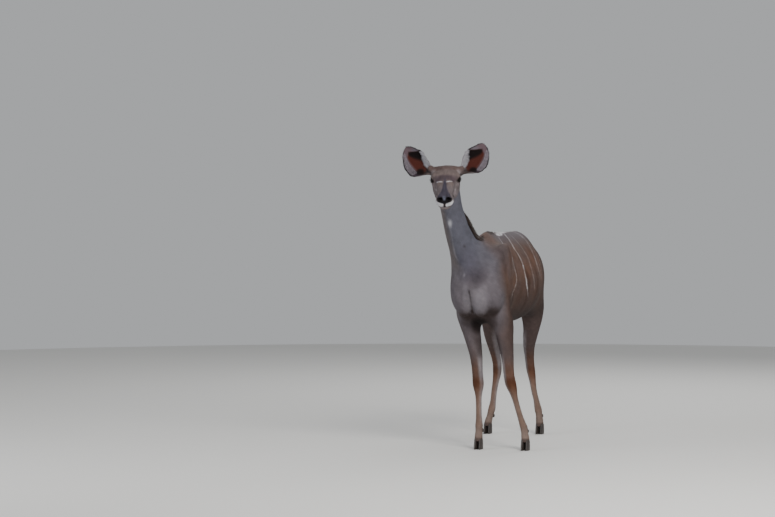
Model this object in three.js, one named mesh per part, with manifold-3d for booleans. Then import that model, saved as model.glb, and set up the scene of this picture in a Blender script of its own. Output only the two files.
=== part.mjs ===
// Greater kudu, adult cow, standing with its head turned to the viewer.
// Millimetres. +X is the animal's left, -Y is forward, +Z is up, and the floor is z = 0.
import * as THREE from 'three';
import { mergeVertices } from 'three/addons/utils/BufferGeometryUtils.js';
import Module from 'manifold-3d';

const wasm = await Module();
wasm.setup();

// Sizes of the whole animal
const WITHERS_HEIGHT = 1240;
const GAP = 0.3;
const HOOF_HEIGHT = 56;
const LEFT = 1;
const RIGHT = -1;

// Trunk: place of the section's middle, half width, height above and below that middle
const TRUNK = [
  [-42, -662, 933, 3, 5, 5],
  [-42, -648, 938, 40, 56, 50],
  [-42, -620, 945, 66, 100, 92],
  [-38, -550, 955, 106, 170, 158],
  [-30, -450, 955, 128, 240, 200],
  [-20, -340, 955, 140, WITHERS_HEIGHT - 957, 226],
  [-12, -200, 950, 160, 285, 246],
  [-4, 0, 945, 192, 282, 250],
  [0, 150, 945, 206, 280, 245],
  [0, 300, 950, 184, 273, 215],
  [0, 420, 960, 152, 260, 175],
  [0, 520, 972, 128, 226, 140],
  [0, 580, 982, 102, 168, 110],
  [0, 625, 990, 68, 110, 70],
  [0, 648, 995, 34, 50, 36],
];

// Neck, from inside the chest to the back of the skull: middle, half width, throat side, nape side
const NECK = [
  [-30, -400, 960, 120, 190, 150],
  [-52, -455, 1060, 98, 170, 144],
  [-98, -515, 1165, 79, 142, 128],
  [-128, -565, 1265, 67, 117, 106],
  [-146, -605, 1365, 62, 98, 90],
  [-156, -640, 1460, 65, 84, 78],
  [-162, -668, 1540, 67, 70, 72],
  [-165, -690, 1590, 52, 50, 56],
];

// Head: its own frame has its origin midway between the eyes
const HEAD_PLACE = [-139, -800, 1547];
const HEAD_YAW = 11.5;
const HEAD_PITCH = 27;
const HEAD_ROLL = 2;
// Rows run from the back of the skull to the nose tip: along, down, half width, jaw side, brow side
const HEAD = [
  [-180, 62, 14, 18, 14],
  [-170, 54, 34, 44, 26],
  [-154, 38, 46, 56, 34],
  [-130, 20, 56, 66, 42],
  [-90, 14, 64, 78, 53],
  [-50, 12, 69, 84, 57],
  [0, 6, 67, 82, 51],
  [40, 4, 57, 75, 45],
  [80, 4, 50, 65, 40],
  [120, 4, 45, 56, 36],
  [160, 4, 42, 50, 32],
  [200, 6, 43, 46, 31],
  [225, 8, 42, 42, 30],
  [242, 10, 38, 37, 27],
  [252, 12, 29, 28, 20],
  [257, 12, 16, 16, 11],
];

// Leg sizes by height: half width, reach forward, reach back
const FORELEG = [
  [840, 34, 50, 55],
  [800, 46, 64, 68],
  [760, 56, 76, 84],
  [700, 56, 70, 84],
  [640, 50, 58, 68],
  [580, 43, 49, 55],
  [530, 38, 42, 46],
  [480, 34, 38, 40],
  [430, 32, 34, 36],
  [395, 33, 35, 35],
  [370, 33, 34, 34],
  [345, 29, 31, 34],
  [315, 22, 24, 29],
  [280, 17.5, 20, 24],
  [200, 17, 19, 24],
  [160, 19, 21, 28],
  [132, 22, 24, 31],
  [104, 20.5, 23, 26],
  [76, 23, 28, 25],
  [HOOF_HEIGHT - 12, 25, 32, 26],
];
const HINDLEG = [
  [880, 34, 90, 90],
  [820, 50, 108, 112],
  [760, 60, 116, 124],
  [700, 58, 98, 112],
  [640, 49, 76, 92],
  [575, 41, 58, 72],
  [519, 34, 46, 60],
  [463, 28.5, 38, 52],
  [420, 27, 36, 44],
  [380, 27, 35, 36],
  [342, 24, 30, 31],
  [300, 19.5, 25, 27],
  [247, 17.5, 21, 24],
  [194, 17.5, 20, 25],
  [141, 22, 24, 31],
  [110, 20, 22, 25],
  [80, 22.5, 27, 24],
  [HOOF_HEIGHT - 12, 24.5, 31, 25],
];
// Leg centrelines: height, x, y
const FORELEG_LINE = {
  right: [
    [840, -112, -400], [760, -106, -392], [700, -94, -385], [631, -77, -390], [529, -55, -399],
    [448, -46, -405], [376, -41, -405], [325, -39, -405], [223, -34, -419], [132, -30, -430],
    [104, -28, -440], [57, -26, -460],
  ],
  left: [
    [840, 92, -400], [760, 98, -392], [700, 104, -385], [634, 112, -390], [532, 128, -399],
    [430, 139, -405], [376, 149, -405], [329, 163, -406], [228, 196, -419], [178, 213, -426],
    [132, 231, -433], [104, 239, -443], [57, 250, -464],
  ],
};
const HINDLEG_LINE = {
  right: [[880, -112, 440], [760, -138, 425], [700, -152, 432], [640, -160, 457], [575, -163, 495],
    [519, -162, 535], [463, -158, 575], [420, -155, 600], [380, -155, 609], [342, -157, 606],
    [300, -163, 599], [247, -169, 587], [194, -172, 573], [141, -178, 558], [110, -184, 547],
    [57, -195, 522]],
  left: [[880, 108, 445], [760, 100, 440], [700, 93, 452], [640, 82, 480], [575, 64, 523],
    [519, 49, 566], [463, 41, 610], [420, 39, 637], [380, 42, 648], [342, 49, 647],
    [300, 57, 641], [247, 68, 630], [194, 84, 617], [141, 98, 604], [110, 105, 594],
    [57, 116, 570]],
};

// Muscles and bones under the skin, one on each side of x = mid: middle, half sizes,
// turn about X, Y and Z in degrees, softness
const MUSCLES = [
  { at: [86, -390, 975], size: [50, 140, 205], turn: [-14, 12, 0], soft: 110, mid: -20 },
  { at: [92, -380, 835], size: [48, 130, 135], turn: [20, 8, 0], soft: 60, mid: -20 },
  { at: [88, -545, 890], size: [52, 66, 92], turn: [0, 0, 0], soft: 70, mid: -10 },
  { at: [48, -580, 850], size: [43, 54, 84], turn: [8, 0, 0], soft: 36, mid: -36 },
  { at: [80, 460, 888], size: [70, 156, 192], turn: [14, 4, 0], soft: 70, mid: 0 },
  { at: [104, 335, 830], size: [50, 90, 104], turn: [-20, 0, 0], soft: 80, mid: 0 },
  { at: [66, 578, 935], size: [52, 72, 152], turn: [-6, 0, 0], soft: 60, mid: 0 },
  { at: [66, 300, 1102], size: [30, 60, 34], turn: [0, 0, 0], soft: 44, mid: 0 },
  { at: [46, 598, 1052], size: [26, 34, 40], turn: [0, 0, 0], soft: 50, mid: 0 },
];
// The same on the head: side, down, along
const FACE = [
  { at: [49, 50, -28], size: [27, 50, 60], soft: 30 },
  { at: [49, 64, 26], size: [18, 28, 66], soft: 26 },
  { at: [58, 21, 4], size: [15, 15, 44], soft: 22 },
  { at: [56, -28, -6], size: [20, 12, 30], soft: 26 },
  { at: [46, 2, -92], size: [28, 28, 28], soft: 26 },
  { at: [26, 24, 208], size: [24, 20, 42], soft: 16 },
  { at: [23, -4, 226], size: [18, 18, 26], soft: 12 },
  { at: [0, 44, 202], size: [27, 16, 48], soft: 24 },
];

// Eyes: middle on the head, radius, and the way they look
const EYE = { at: [63, -4, 4], radius: 20.5, look: [0.82, -0.1, 0.56], halfOpening: [18, 12.5], lid: 4.6 };

// Nostrils and mouth, on the head
const NOSTRIL = { at: [22, -6, 244], size: [12, 9.5, 15], turn: [26, -24, 30] };
const MOUTH = { down: 37, drop: 4, heart: 188, sweep: 112, deep: 9, clear: 14, thick: 3 };

// Ears: where they root on the head, their length and how the tips lie from the roots
const EAR = {
  root: { left: [60, 20, -92], right: [-56, 6, -92] },
  length: 236,
  thick: 5,
  rootCut: 0.15,
  spread: { left: 1.07, right: 1 },
  lean: { left: [133, 91, 172], right: [-194, 34, 152] },
  face: { left: [-0.06, -0.98, -0.16], right: [0.14, -0.97, -0.16] },
};
// Ear rows by place along the ear: outer half width, inner half width, wrap of the cup in degrees
const EAR_ROWS = [
  [0, 22, 14, 150],
  [0.08, 30, 13, 135],
  [0.15, 46, 13, 112],
  [0.22, 70, 17, 92],
  [0.3, 88, 25, 74],
  [0.4, 97, 36, 62],
  [0.54, 97, 46, 52],
  [0.69, 87, 40, 44],
  [0.85, 61, 26, 38],
  [0.92, 46, 19, 34],
  [0.975, 26, 10, 30],
  [1, 8, 5, 28],
];

// Hooves and dewclaws
const TOE = {
  apart: 13.2,
  rings: [
    { z: 0, half: 12, front: 48, back: 24 },
    { z: 7, half: 12.8, front: 48, back: 27 },
    { z: 30, half: 12.6, front: 38, back: 27 },
    { z: HOOF_HEIGHT, half: 11.6, front: 28, back: 23 },
  ],
};
const DEWCLAW = { apart: 13, behind: 25, height: 112, radius: 9, length: 27 };

// Tail: middle and radius from the root to the end of its brush
const TAIL = [
  [0, 580, 1112, 24],
  [0, 636, 1102, 22],
  [0, 676, 1068, 18],
  [-3, 696, 1010, 16],
  [-6, 704, 940, 16],
  [-8, 706, 870, 17],
  [-9, 704, 800, 14],
  [-9, 700, 752, 7],
];

// Crest along the nape and the back: place from 0 at the poll to 1 at the tail, height,
// half width, lean to the animal's left in degrees
const CREST = [
  [0, 14, 9, 0],
  [0.06, 24, 10, 6],
  [0.18, 32, 11, 16],
  [0.26, 34, 11, 22],
  [0.32, 26, 11, 18],
  [0.37, 16, 10, 10],
  [0.42, 12, 9, 6],
  [0.5, 10, 8, 0],
  [0.8, 8, 8, 0],
  [1, 6, 6, 0],
];

// Mane: locks in a row along the crest, from first to last place on it; how far they
// stand out where they leave it and where they end, and how far they lean to the left
const MANE = {
  locks: 34,
  first: 0.015,
  last: 0.275,
  lengths: [[0, 34], [0.05, 46], [0.14, 58], [0.275, 66]],
  wide: 19,
  thick: 7,
  leave: { out: 1, down: 0.55 },
  rest: { out: 0.42, down: 0.95, left: 0.3 },
};

// Brush of the tail: locks in rings round it, each ring lower than the last
const BRUSH = {
  rings: [[940, 4], [905, 5], [870, 6], [835, 6], [800, 5]],
  lengths: [[800, 46], [870, 62], [940, 50]],
  wide: 17,
  thick: 7,
};

const D = THREE.MathUtils.DEG2RAD;
const UP = new THREE.Vector3(0, 0, 1);
const ACROSS = new THREE.Vector3(1, 0, 0);
const BACKWARD = new THREE.Vector3(0, 1, 0);

// The head's frame: side is the animal's left, down is towards the jaw, along is towards the nose
function headFrame() {
  const along = new THREE.Vector3(
    Math.sin(HEAD_YAW * D) * Math.cos(HEAD_PITCH * D),
    -Math.cos(HEAD_YAW * D) * Math.cos(HEAD_PITCH * D),
    -Math.sin(HEAD_PITCH * D),
  );
  const side = new THREE.Vector3(Math.cos(HEAD_YAW * D), Math.sin(HEAD_YAW * D), 0);
  const down = new THREE.Vector3().crossVectors(side, along);
  const turn = new THREE.Quaternion().setFromAxisAngle(along, HEAD_ROLL * D);
  side.applyQuaternion(turn);
  down.applyQuaternion(turn);
  return { origin: new THREE.Vector3(...HEAD_PLACE), side, down, along };
}
const head = headFrame();
const headTurn = new THREE.Quaternion().setFromRotationMatrix(
  new THREE.Matrix4().makeBasis(head.side, head.down, head.along),
);

function onHeadDirection(side, down, along) {
  return new THREE.Vector3()
    .addScaledVector(head.side, side)
    .addScaledVector(head.down, down)
    .addScaledVector(head.along, along);
}

function onHead(side, down, along) {
  return head.origin.clone()
    .addScaledVector(head.side, side)
    .addScaledVector(head.down, down)
    .addScaledVector(head.along, along);
}

// A smooth curve through rows of [place, value, value ...], read at any place
function smoothRows(rows) {
  const sorted = [...rows].sort((a, b) => a[0] - b[0]);
  const last = sorted.length - 1;
  const slopes = sorted.map((row, i) => {
    const before = sorted[Math.max(i - 1, 0)];
    const after = sorted[Math.min(i + 1, last)];
    return row.map((_, k) => (after[k] - before[k]) / (after[0] - before[0]));
  });
  return (place) => {
    if (place <= sorted[0][0]) return sorted[0].slice(1);
    if (place >= sorted[last][0]) return sorted[last].slice(1);
    let i = 0;
    while (sorted[i + 1][0] < place) i += 1;
    const width = sorted[i + 1][0] - sorted[i][0];
    const t = (place - sorted[i][0]) / width;
    const values = [];
    for (let k = 1; k < sorted[i].length; k += 1) {
      const a = sorted[i][k];
      const b = sorted[i + 1][k];
      const m = slopes[i][k] * width;
      const n = slopes[i + 1][k] * width;
      values.push(a + t * (m + t * (3 * (b - a) - 2 * m - n + t * (2 * (a - b) + m + n))));
    }
    return values;
  };
}

// A form swept along a straight axis with a smooth run of rounded sections.
// Rows: x, y, z of the middle, half width, reach towards cross(side, along), reach the other way.
function sweptForm({ along, side, rows, square = [2.1, 2.1], soft = 40, rounder = [0, 1, 0] }) {
  const w = along.clone().normalize();
  const u = side.clone().addScaledVector(w, -side.dot(w)).normalize();
  const v = new THREE.Vector3().crossVectors(u, w);
  const table = rows.map(([x, y, z, half, plus, minus]) => {
    const middle = new THREE.Vector3(x, y, z);
    return [middle.dot(w), middle.dot(u), middle.dot(v), half, plus, minus];
  });
  const section = smoothRows(table);
  const first = Math.min(...table.map((row) => row[0]));
  const last = Math.max(...table.map((row) => row[0]));
  const powerAt = (s, above) => {
    if (!above) return square[1];
    const t = Math.min(Math.max((s - rounder[0]) / (rounder[1] - rounder[0]), 0), 1);
    return square[0] + rounder[2] * t * t * (3 - 2 * t);
  };
  const distance = (p) => {
    const s = p.dot(w);
    const [cu, cv, half, plus, minus] = section(s);
    const qu = p.dot(u) - cu;
    const qv = p.dot(v) - cv;
    const power = powerAt(s, qv > 0);
    const ratio = (Math.abs(qu / half) ** power
      + Math.abs(qv / (qv > 0 ? plus : minus)) ** power) ** (1 / power);
    const across = ratio < 1e-6 ? -half : (1 - 1 / ratio) * Math.hypot(qu, qv);
    const beyond = Math.max(first - s, s - last);
    if (beyond <= 0) return Math.max(across, beyond);
    return Math.hypot(Math.max(across, 0), beyond);
  };
  const middleAt = (s) => {
    const [cu, cv] = section(s);
    return w.clone().multiplyScalar(s).addScaledVector(u, cu).addScaledVector(v, cv);
  };
  const reachAt = (s, cos, sin) => {
    const [, , half, plus, minus] = section(s);
    const reach = sin > 0 ? plus : minus;
    const power = powerAt(s, sin > 0);
    return 1 / (Math.abs(cos / half) ** power + Math.abs(sin / reach) ** power) ** (1 / power);
  };
  return { distance, soft, u, v, w, first, last, middleAt, reachAt };
}

function ellipsoidForm(row, sign = LEFT, frame = null) {
  const { at, size, turn = [0, 0, 0], soft, mid = 0 } = row;
  const middle = frame ? onHead(at[0] * sign, at[1], at[2])
    : new THREE.Vector3(mid + at[0] * sign, at[1], at[2]);
  const back = new THREE.Quaternion().setFromEuler(
    new THREE.Euler(turn[0] * D, turn[1] * sign * D, turn[2] * sign * D),
  );
  if (frame) back.premultiply(frame);
  back.invert();
  const q = new THREE.Vector3();
  const distance = (p) => {
    q.copy(p).sub(middle).applyQuaternion(back);
    const k0 = Math.hypot(q.x / size[0], q.y / size[1], q.z / size[2]);
    const k1 = Math.hypot(q.x / size[0] ** 2, q.y / size[1] ** 2, q.z / size[2] ** 2);
    return k1 < 1e-9 ? -Math.min(...size) : (k0 * (k0 - 1)) / k1;
  };
  return { distance, soft };
}

function legRows(sizes, line) {
  const reach = smoothRows(sizes);
  const middle = smoothRows(line);
  const heights = sizes.map((row) => row[0]);
  return heights.map((z) => [...middle(z), z, ...reach(z)]);
}


// The back is a ridge at the withers and rounder from the loin to the rump
const trunk = sweptForm({
  along: BACKWARD,
  side: ACROSS,
  rows: TRUNK,
  square: [1.36, 2.15],
  rounder: [0, 340, 0.34],
});
const neck = sweptForm({
  along: new THREE.Vector3(...NECK[NECK.length - 1].slice(0, 3))
    .sub(new THREE.Vector3(...NECK[0].slice(0, 3))),
  side: ACROSS,
  rows: NECK,
  square: [2.1, 1.7],
  soft: 70,
});
const skull = sweptForm({
  along: head.along,
  side: head.side,
  rows: HEAD.map(([along, down, half, jaw, brow]) => [
    ...onHead(0, down, along).toArray(), half, jaw, brow,
  ]),
  square: [2.1, 2.3],
  soft: 45,
});
const legs = {
  foreleg_right: sweptForm({ along: UP, side: ACROSS, rows: legRows(FORELEG, FORELEG_LINE.right) }),
  foreleg_left: sweptForm({ along: UP, side: ACROSS, rows: legRows(FORELEG, FORELEG_LINE.left) }),
  hindleg_right: sweptForm({ along: UP, side: ACROSS, rows: legRows(HINDLEG, HINDLEG_LINE.right) }),
  hindleg_left: sweptForm({ along: UP, side: ACROSS, rows: legRows(HINDLEG, HINDLEG_LINE.left) }),
};
const muscles = [LEFT, RIGHT].flatMap((sign) => [
  ...MUSCLES.map((row) => ellipsoidForm(row, sign)),
  ...FACE.map((row) => ellipsoidForm(row, sign, headTurn)),
]);
const BODY_FORMS = [trunk, neck, skull, ...muscles];
const ALL_FORMS = [...BODY_FORMS, ...Object.values(legs)];

// Distance to the skin of the whole animal, all forms melted together
function skinDistance(p, forms) {
  let near = Infinity;
  for (const form of forms) {
    const d = form.distance(p);
    if (near === Infinity) {
      near = d;
    } else {
      const h = Math.max(form.soft - Math.abs(near - d), 0) / form.soft;
      near = Math.min(near, d) - (h * h * form.soft) / 4;
    }
  }
  return near;
}

function reachToSkin(middle, direction, limit, forms) {
  const p = new THREE.Vector3();
  const value = (r) => skinDistance(p.copy(middle).addScaledVector(direction, r), forms);
  const step = 8;
  let inside = 0;
  while (inside + step < limit && value(inside + step) < 0) inside += step;
  let outside = Math.min(inside + step, limit);
  if (value(outside) < 0) return limit;
  for (let i = 0; i < 14; i += 1) {
    const half = (inside + outside) / 2;
    if (value(half) < 0) inside = half;
    else outside = half;
  }
  return inside;
}

function solidFrom(geometry) {
  const bare = geometry.clone();
  bare.deleteAttribute('normal');
  bare.deleteAttribute('uv');
  const merged = mergeVertices(bare, 1e-4);
  return new wasm.Manifold(new wasm.Mesh({
    numProp: 3,
    vertProperties: new Float32Array(merged.attributes.position.array),
    triVerts: new Uint32Array(merged.index.array),
  }));
}

// A closed surface through rings of points, each end closed by a fan round its middle
function solidFromRings(rings) {
  const sides = rings[0].length;
  const points = rings.flat();
  const faces = [];
  for (let j = 0; j + 1 < rings.length; j += 1) {
    for (let k = 0; k < sides; k += 1) {
      const a = j * sides + k;
      const b = j * sides + ((k + 1) % sides);
      faces.push(a, b, b + sides, a, b + sides, a + sides);
    }
  }
  [0, rings.length - 1].forEach((j) => {
    const middle = new THREE.Vector3();
    rings[j].forEach((point) => middle.addScaledVector(point, 1 / sides));
    const hub = points.length;
    points.push(middle);
    for (let k = 0; k < sides; k += 1) {
      const a = j * sides + k;
      const b = j * sides + ((k + 1) % sides);
      if (j === 0) faces.push(hub, b, a);
      else faces.push(hub, a, b);
    }
  });
  return solidFromFaces(points, faces);
}

// A closed surface from its points and triangles, turned to face outwards
function solidFromFaces(points, faces) {
  const order = signedVolume(points, faces) < 0 ? [0, 2, 1] : [0, 1, 2];
  const index = [];
  for (let i = 0; i < faces.length; i += 3) order.forEach((k) => index.push(faces[i + k]));
  const geometry = new THREE.BufferGeometry();
  geometry.setAttribute('position', new THREE.Float32BufferAttribute(
    points.flatMap((point) => point.toArray()),
    3,
  ));
  geometry.setIndex(index);
  return solidFrom(geometry);
}

function signedVolume(points, faces) {
  let volume = 0;
  const cross = new THREE.Vector3();
  for (let i = 0; i < faces.length; i += 3) {
    cross.crossVectors(points[faces[i + 1]], points[faces[i + 2]]);
    volume += points[faces[i]].dot(cross) / 6;
  }
  return volume;
}

// A body part: rings round a form's axis, each point moved out to the skin
function skinnedSolid(form, { places, sides, allowance, forms, ownFrom = Infinity }) {
  const rings = places.map((s) => {
    const middle = form.middleAt(s);
    const ring = [];
    for (let k = 0; k < sides; k += 1) {
      const angle = (2 * Math.PI * (k + 0.5)) / sides;
      const direction = form.u.clone().multiplyScalar(Math.cos(angle))
        .addScaledVector(form.v, Math.sin(angle));
      const own = form.reachAt(s, Math.cos(angle), Math.sin(angle));
      const reach = s > ownFrom ? own : reachToSkin(middle, direction, own + allowance, forms);
      ring.push(middle.clone().addScaledVector(direction, reach));
    }
    return ring;
  });
  return solidFromRings(rings);
}

function stepsBetween(first, last, count) {
  return Array.from({ length: count + 1 }, (_, i) => first + ((last - first) * i) / count);
}

// A block that fills everything on one side of a plane, used to part the body
const REACH = 3000;
function halfSpace(point, normal, offset) {
  const box = new THREE.BoxGeometry(REACH, REACH, REACH);
  const turn = new THREE.Quaternion().setFromUnitVectors(UP, normal.clone().normalize());
  box.translate(0, 0, REACH / 2 + offset);
  box.applyQuaternion(turn);
  box.translate(point.x, point.y, point.z);
  return solidFrom(box);
}

function largestPiece(solid) {
  const pieces = solid.decompose();
  return pieces.reduce((best, piece) => (piece.volume() > best.volume() ? piece : best));
}

// Cuts a solid in two along a region, with a thin gap between the two pieces
function partBy(solid, regionAt) {
  return [solid.intersect(regionAt(GAP / 2)), solid.subtract(regionAt(-GAP / 2))];
}

// A curved plate with two faces: rows of points on each, split into triangles alike
function solidFromPlate(outer, inner) {
  const rows = outer.length;
  const across = outer[0].length;
  const points = [...outer.flat(), ...inner.flat()];
  const o = (j, k) => j * across + k;
  const i = (j, k) => rows * across + j * across + k;
  const faces = [];
  const quad = (a, b, c, d) => faces.push(a, b, c, a, c, d);
  for (let j = 0; j + 1 < rows; j += 1) {
    for (let k = 0; k + 1 < across; k += 1) {
      quad(o(j, k), o(j, k + 1), o(j + 1, k + 1), o(j + 1, k));
      faces.push(i(j, k), i(j + 1, k + 1), i(j, k + 1), i(j, k), i(j + 1, k), i(j + 1, k + 1));
    }
    quad(o(j, 0), o(j + 1, 0), i(j + 1, 0), i(j, 0));
    quad(o(j + 1, across - 1), o(j, across - 1), i(j, across - 1), i(j + 1, across - 1));
  }
  for (let k = 0; k + 1 < across; k += 1) {
    quad(o(0, k + 1), o(0, k), i(0, k), i(0, k + 1));
    quad(o(rows - 1, k), o(rows - 1, k + 1), i(rows - 1, k + 1), i(rows - 1, k));
  }
  return solidFromFaces(points, faces);
}

// A round tube along a path of [x, y, z, radius]
function solidAlong(path, sides) {
  const rings = path.map(([x, y, z, radius], j) => {
    const before = new THREE.Vector3(...path[Math.max(j - 1, 0)]);
    const after = new THREE.Vector3(...path[Math.min(j + 1, path.length - 1)]);
    const along = after.sub(before).normalize();
    const u = ACROSS.clone().addScaledVector(along, -ACROSS.dot(along)).normalize();
    const v = new THREE.Vector3().crossVectors(u, along);
    return Array.from({ length: sides }, (_, k) => {
      const angle = (2 * Math.PI * k) / sides;
      return new THREE.Vector3(x, y, z)
        .addScaledVector(u, radius * Math.cos(angle))
        .addScaledVector(v, radius * Math.sin(angle));
    });
  });
  return solidFromRings(rings);
}

function ball(middle, radius, widthSegments = 14, heightSegments = 8) {
  const geometry = new THREE.SphereGeometry(radius, widthSegments, heightSegments);
  geometry.translate(middle.x, middle.y, middle.z);
  return solidFrom(geometry);
}

// The ear's own directions: along to the tip, face out of the cup, across the cup
function earFrame(sign) {
  const side = sign === LEFT ? 'left' : 'right';
  const root = onHead(...EAR.root[side]);
  const along = new THREE.Vector3(...EAR.lean[side]).normalize();
  const face = new THREE.Vector3(...EAR.face[side]);
  face.addScaledVector(along, -face.dot(along)).normalize();
  const across = new THREE.Vector3().crossVectors(along, face);
  return { root, along, face, across, spread: EAR.spread[side] };
}

function earSolid(sign) {
  const { root, along, face, across, spread } = earFrame(sign);
  const profile = smoothRows(EAR_ROWS);
  const places = [0, 0.08, 0.15, 0.21, 0.27, 0.34, 0.43, 0.53, 0.63, 0.73, 0.82, 0.9, 0.96, 1];
  const steps = 10;
  const rowsAt = (inset) => places.map((s) => {
    const [outer, inner, wrapDegrees] = profile(s);
    const wrap = wrapDegrees * D;
    const middle = root.clone().addScaledVector(along, EAR.length * s);
    const filled = s < 0.2 ? 0.8 * outer : 0;
    return stepsBetween(-1, 1, steps).map((t) => {
      const half = t * sign > 0 ? outer * spread : inner;
      const radius = wrap > Math.PI / 2 ? half : half / Math.sin(wrap);
      const angle = wrap * t;
      const thick = inset * Math.max(EAR.thick * (1 - 0.5 * s) * (1 - 0.5 * t * t), filled);
      const r = radius - Math.min(thick, radius * 0.85);
      return middle.clone()
        .addScaledVector(across, r * Math.sin(angle))
        .addScaledVector(face, radius - r * Math.cos(angle));
    });
  });
  return solidFromPlate(rowsAt(0), rowsAt(1));
}

// A small ball stretched and turned in the head's frame, used to hollow out a nostril
function nostrilSolid(sign) {
  const geometry = new THREE.SphereGeometry(1, 12, 8);
  geometry.scale(...NOSTRIL.size);
  const turn = new THREE.Quaternion().setFromEuler(new THREE.Euler(
    NOSTRIL.turn[0] * D,
    NOSTRIL.turn[1] * D * sign,
    NOSTRIL.turn[2] * D * sign,
  ));
  geometry.applyQuaternion(turn.premultiply(headTurn));
  const middle = onHead(NOSTRIL.at[0] * sign, NOSTRIL.at[1], NOSTRIL.at[2]);
  geometry.translate(middle.x, middle.y, middle.z);
  return solidFrom(geometry);
}

// The line of the mouth: a thin horseshoe that cuts a groove between the lips
function mouthSolid() {
  const heart = onHead(0, MOUTH.down, MOUTH.heart);
  const turns = stepsBetween(-MOUTH.sweep, MOUTH.sweep, 18);
  const rowsAt = (lift) => [MOUTH.deep, -MOUTH.clear].map((inset) => turns.map((degrees) => {
    const direction = onHeadDirection(Math.sin(degrees * D), 0, Math.cos(degrees * D));
    const reach = reachToSkin(heart, direction, 140, BODY_FORMS);
    const drop = MOUTH.drop * (1 - Math.cos(degrees * D));
    return heart.clone()
      .addScaledVector(direction, reach - inset)
      .addScaledVector(head.down, lift + drop);
  }));
  return solidFromPlate(rowsAt(-MOUTH.thick / 2), rowsAt(MOUTH.thick / 2));
}

// Lids: an almond-shaped rim lying round the eyeball
function lidSolid(sign) {
  const middle = onHead(EYE.at[0] * sign, EYE.at[1], EYE.at[2]);
  const look = onHeadDirection(EYE.look[0] * sign, EYE.look[1], EYE.look[2]).normalize();
  const lengthwise = head.along.clone().addScaledVector(look, -head.along.dot(look)).normalize();
  const upward = new THREE.Vector3().crossVectors(look, lengthwise).multiplyScalar(sign);
  const [long, high] = EYE.halfOpening;
  const steps = 16;
  const rim = Array.from({ length: steps }, (_, k) => {
    const angle = (2 * Math.PI * k) / steps;
    const a = long * Math.cos(angle);
    const b = high * Math.sin(angle) * (1 - 0.25 * Math.abs(Math.cos(angle)));
    const out = Math.sqrt(Math.max(EYE.radius ** 2 - a * a - b * b, 0));
    const point = middle.clone().addScaledVector(lengthwise, a).addScaledVector(upward, b)
      .addScaledVector(look, out * 0.985);
    return { point, outward: point.clone().sub(middle).normalize() };
  });
  const sides = 5;
  const points = [];
  const faces = [];
  rim.forEach(({ point, outward }, j) => {
    const next = rim[(j + 1) % steps].point;
    const before = rim[(j + steps - 1) % steps].point;
    const alongRim = next.clone().sub(before).normalize();
    const sideways = new THREE.Vector3().crossVectors(alongRim, outward).normalize();
    for (let k = 0; k < sides; k += 1) {
      const angle = (2 * Math.PI * k) / sides;
      points.push(point.clone()
        .addScaledVector(outward, EYE.lid * 0.5 * Math.cos(angle))
        .addScaledVector(sideways, EYE.lid * Math.sin(angle)));
    }
  });
  for (let j = 0; j < steps; j += 1) {
    for (let k = 0; k < sides; k += 1) {
      const a = j * sides + k;
      const b = j * sides + ((k + 1) % sides);
      const c = ((j + 1) % steps) * sides + ((k + 1) % sides);
      const d = ((j + 1) % steps) * sides + k;
      faces.push(a, b, c, a, c, d);
    }
  }
  return solidFromFaces(points, faces);
}

// One toe: rings from the sole up to the coronet, pointed in front
function toeSolid(x, y, direction, sign) {
  const sides = 12;
  const middle = x + TOE.apart * sign;
  return solidFromRings(TOE.rings.map(({ z, half, front, back }) => (
    Array.from({ length: sides }, (_, k) => {
      const angle = (2 * Math.PI * (k + 0.5)) / sides;
      const forward = Math.sin(angle);
      const narrow = forward > 0 ? 1 - 0.42 * forward ** 2 : 1 - 0.12 * forward ** 2;
      const reach = forward > 0 ? front : back;
      return new THREE.Vector3(
        middle + half * narrow * Math.cos(angle),
        y - reach * forward * direction,
        z,
      );
    })
  )));
}

function dewclawSolid(x, y, sign, grow) {
  const top = [x + DEWCLAW.apart * sign, y + DEWCLAW.behind, DEWCLAW.height + 6 + grow];
  return solidAlong([
    [top[0], top[1] - 6, top[2], 3 + grow],
    [top[0], top[1], top[2] - 7, DEWCLAW.radius * 0.85 + grow],
    [top[0], top[1] + 4, top[2] - 15, DEWCLAW.radius + grow],
    [top[0], top[1] + 7, top[2] - DEWCLAW.length - grow, DEWCLAW.radius * 0.45 + grow],
  ], 6);
}

// A seeded draw of numbers from 0 to 1
function seededDraw(seed) {
  let state = seed;
  return () => {
    state = (state * 1664525 + 1013904223) % 4294967296;
    return state / 4294967296;
  };
}

// A flat lock of hair: it leaves its root one way and bends until it lies another way
function lockSolid({ root, leave, rest, across, length, wide, thick }) {
  const stations = [[0, 0.8], [0.34, 1], [0.7, 0.68], [1, 0.1]];
  const rings = stations.map(([t, size]) => {
    const point = root.clone()
      .addScaledVector(leave, length * (t - 0.5 * t * t))
      .addScaledVector(rest, length * 0.5 * t * t);
    const along = leave.clone().lerp(rest, t).normalize();
    const side = across.clone().addScaledVector(along, -along.dot(across)).normalize();
    const up = new THREE.Vector3().crossVectors(along, side);
    return [[-1, 0], [0, 1], [1, 0], [0, -1]].map(([a, b]) => point.clone()
      .addScaledVector(side, (a * size * wide) / 2)
      .addScaledVector(up, (b * size * thick) / 2));
  });
  return solidFromRings(rings);
}

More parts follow.
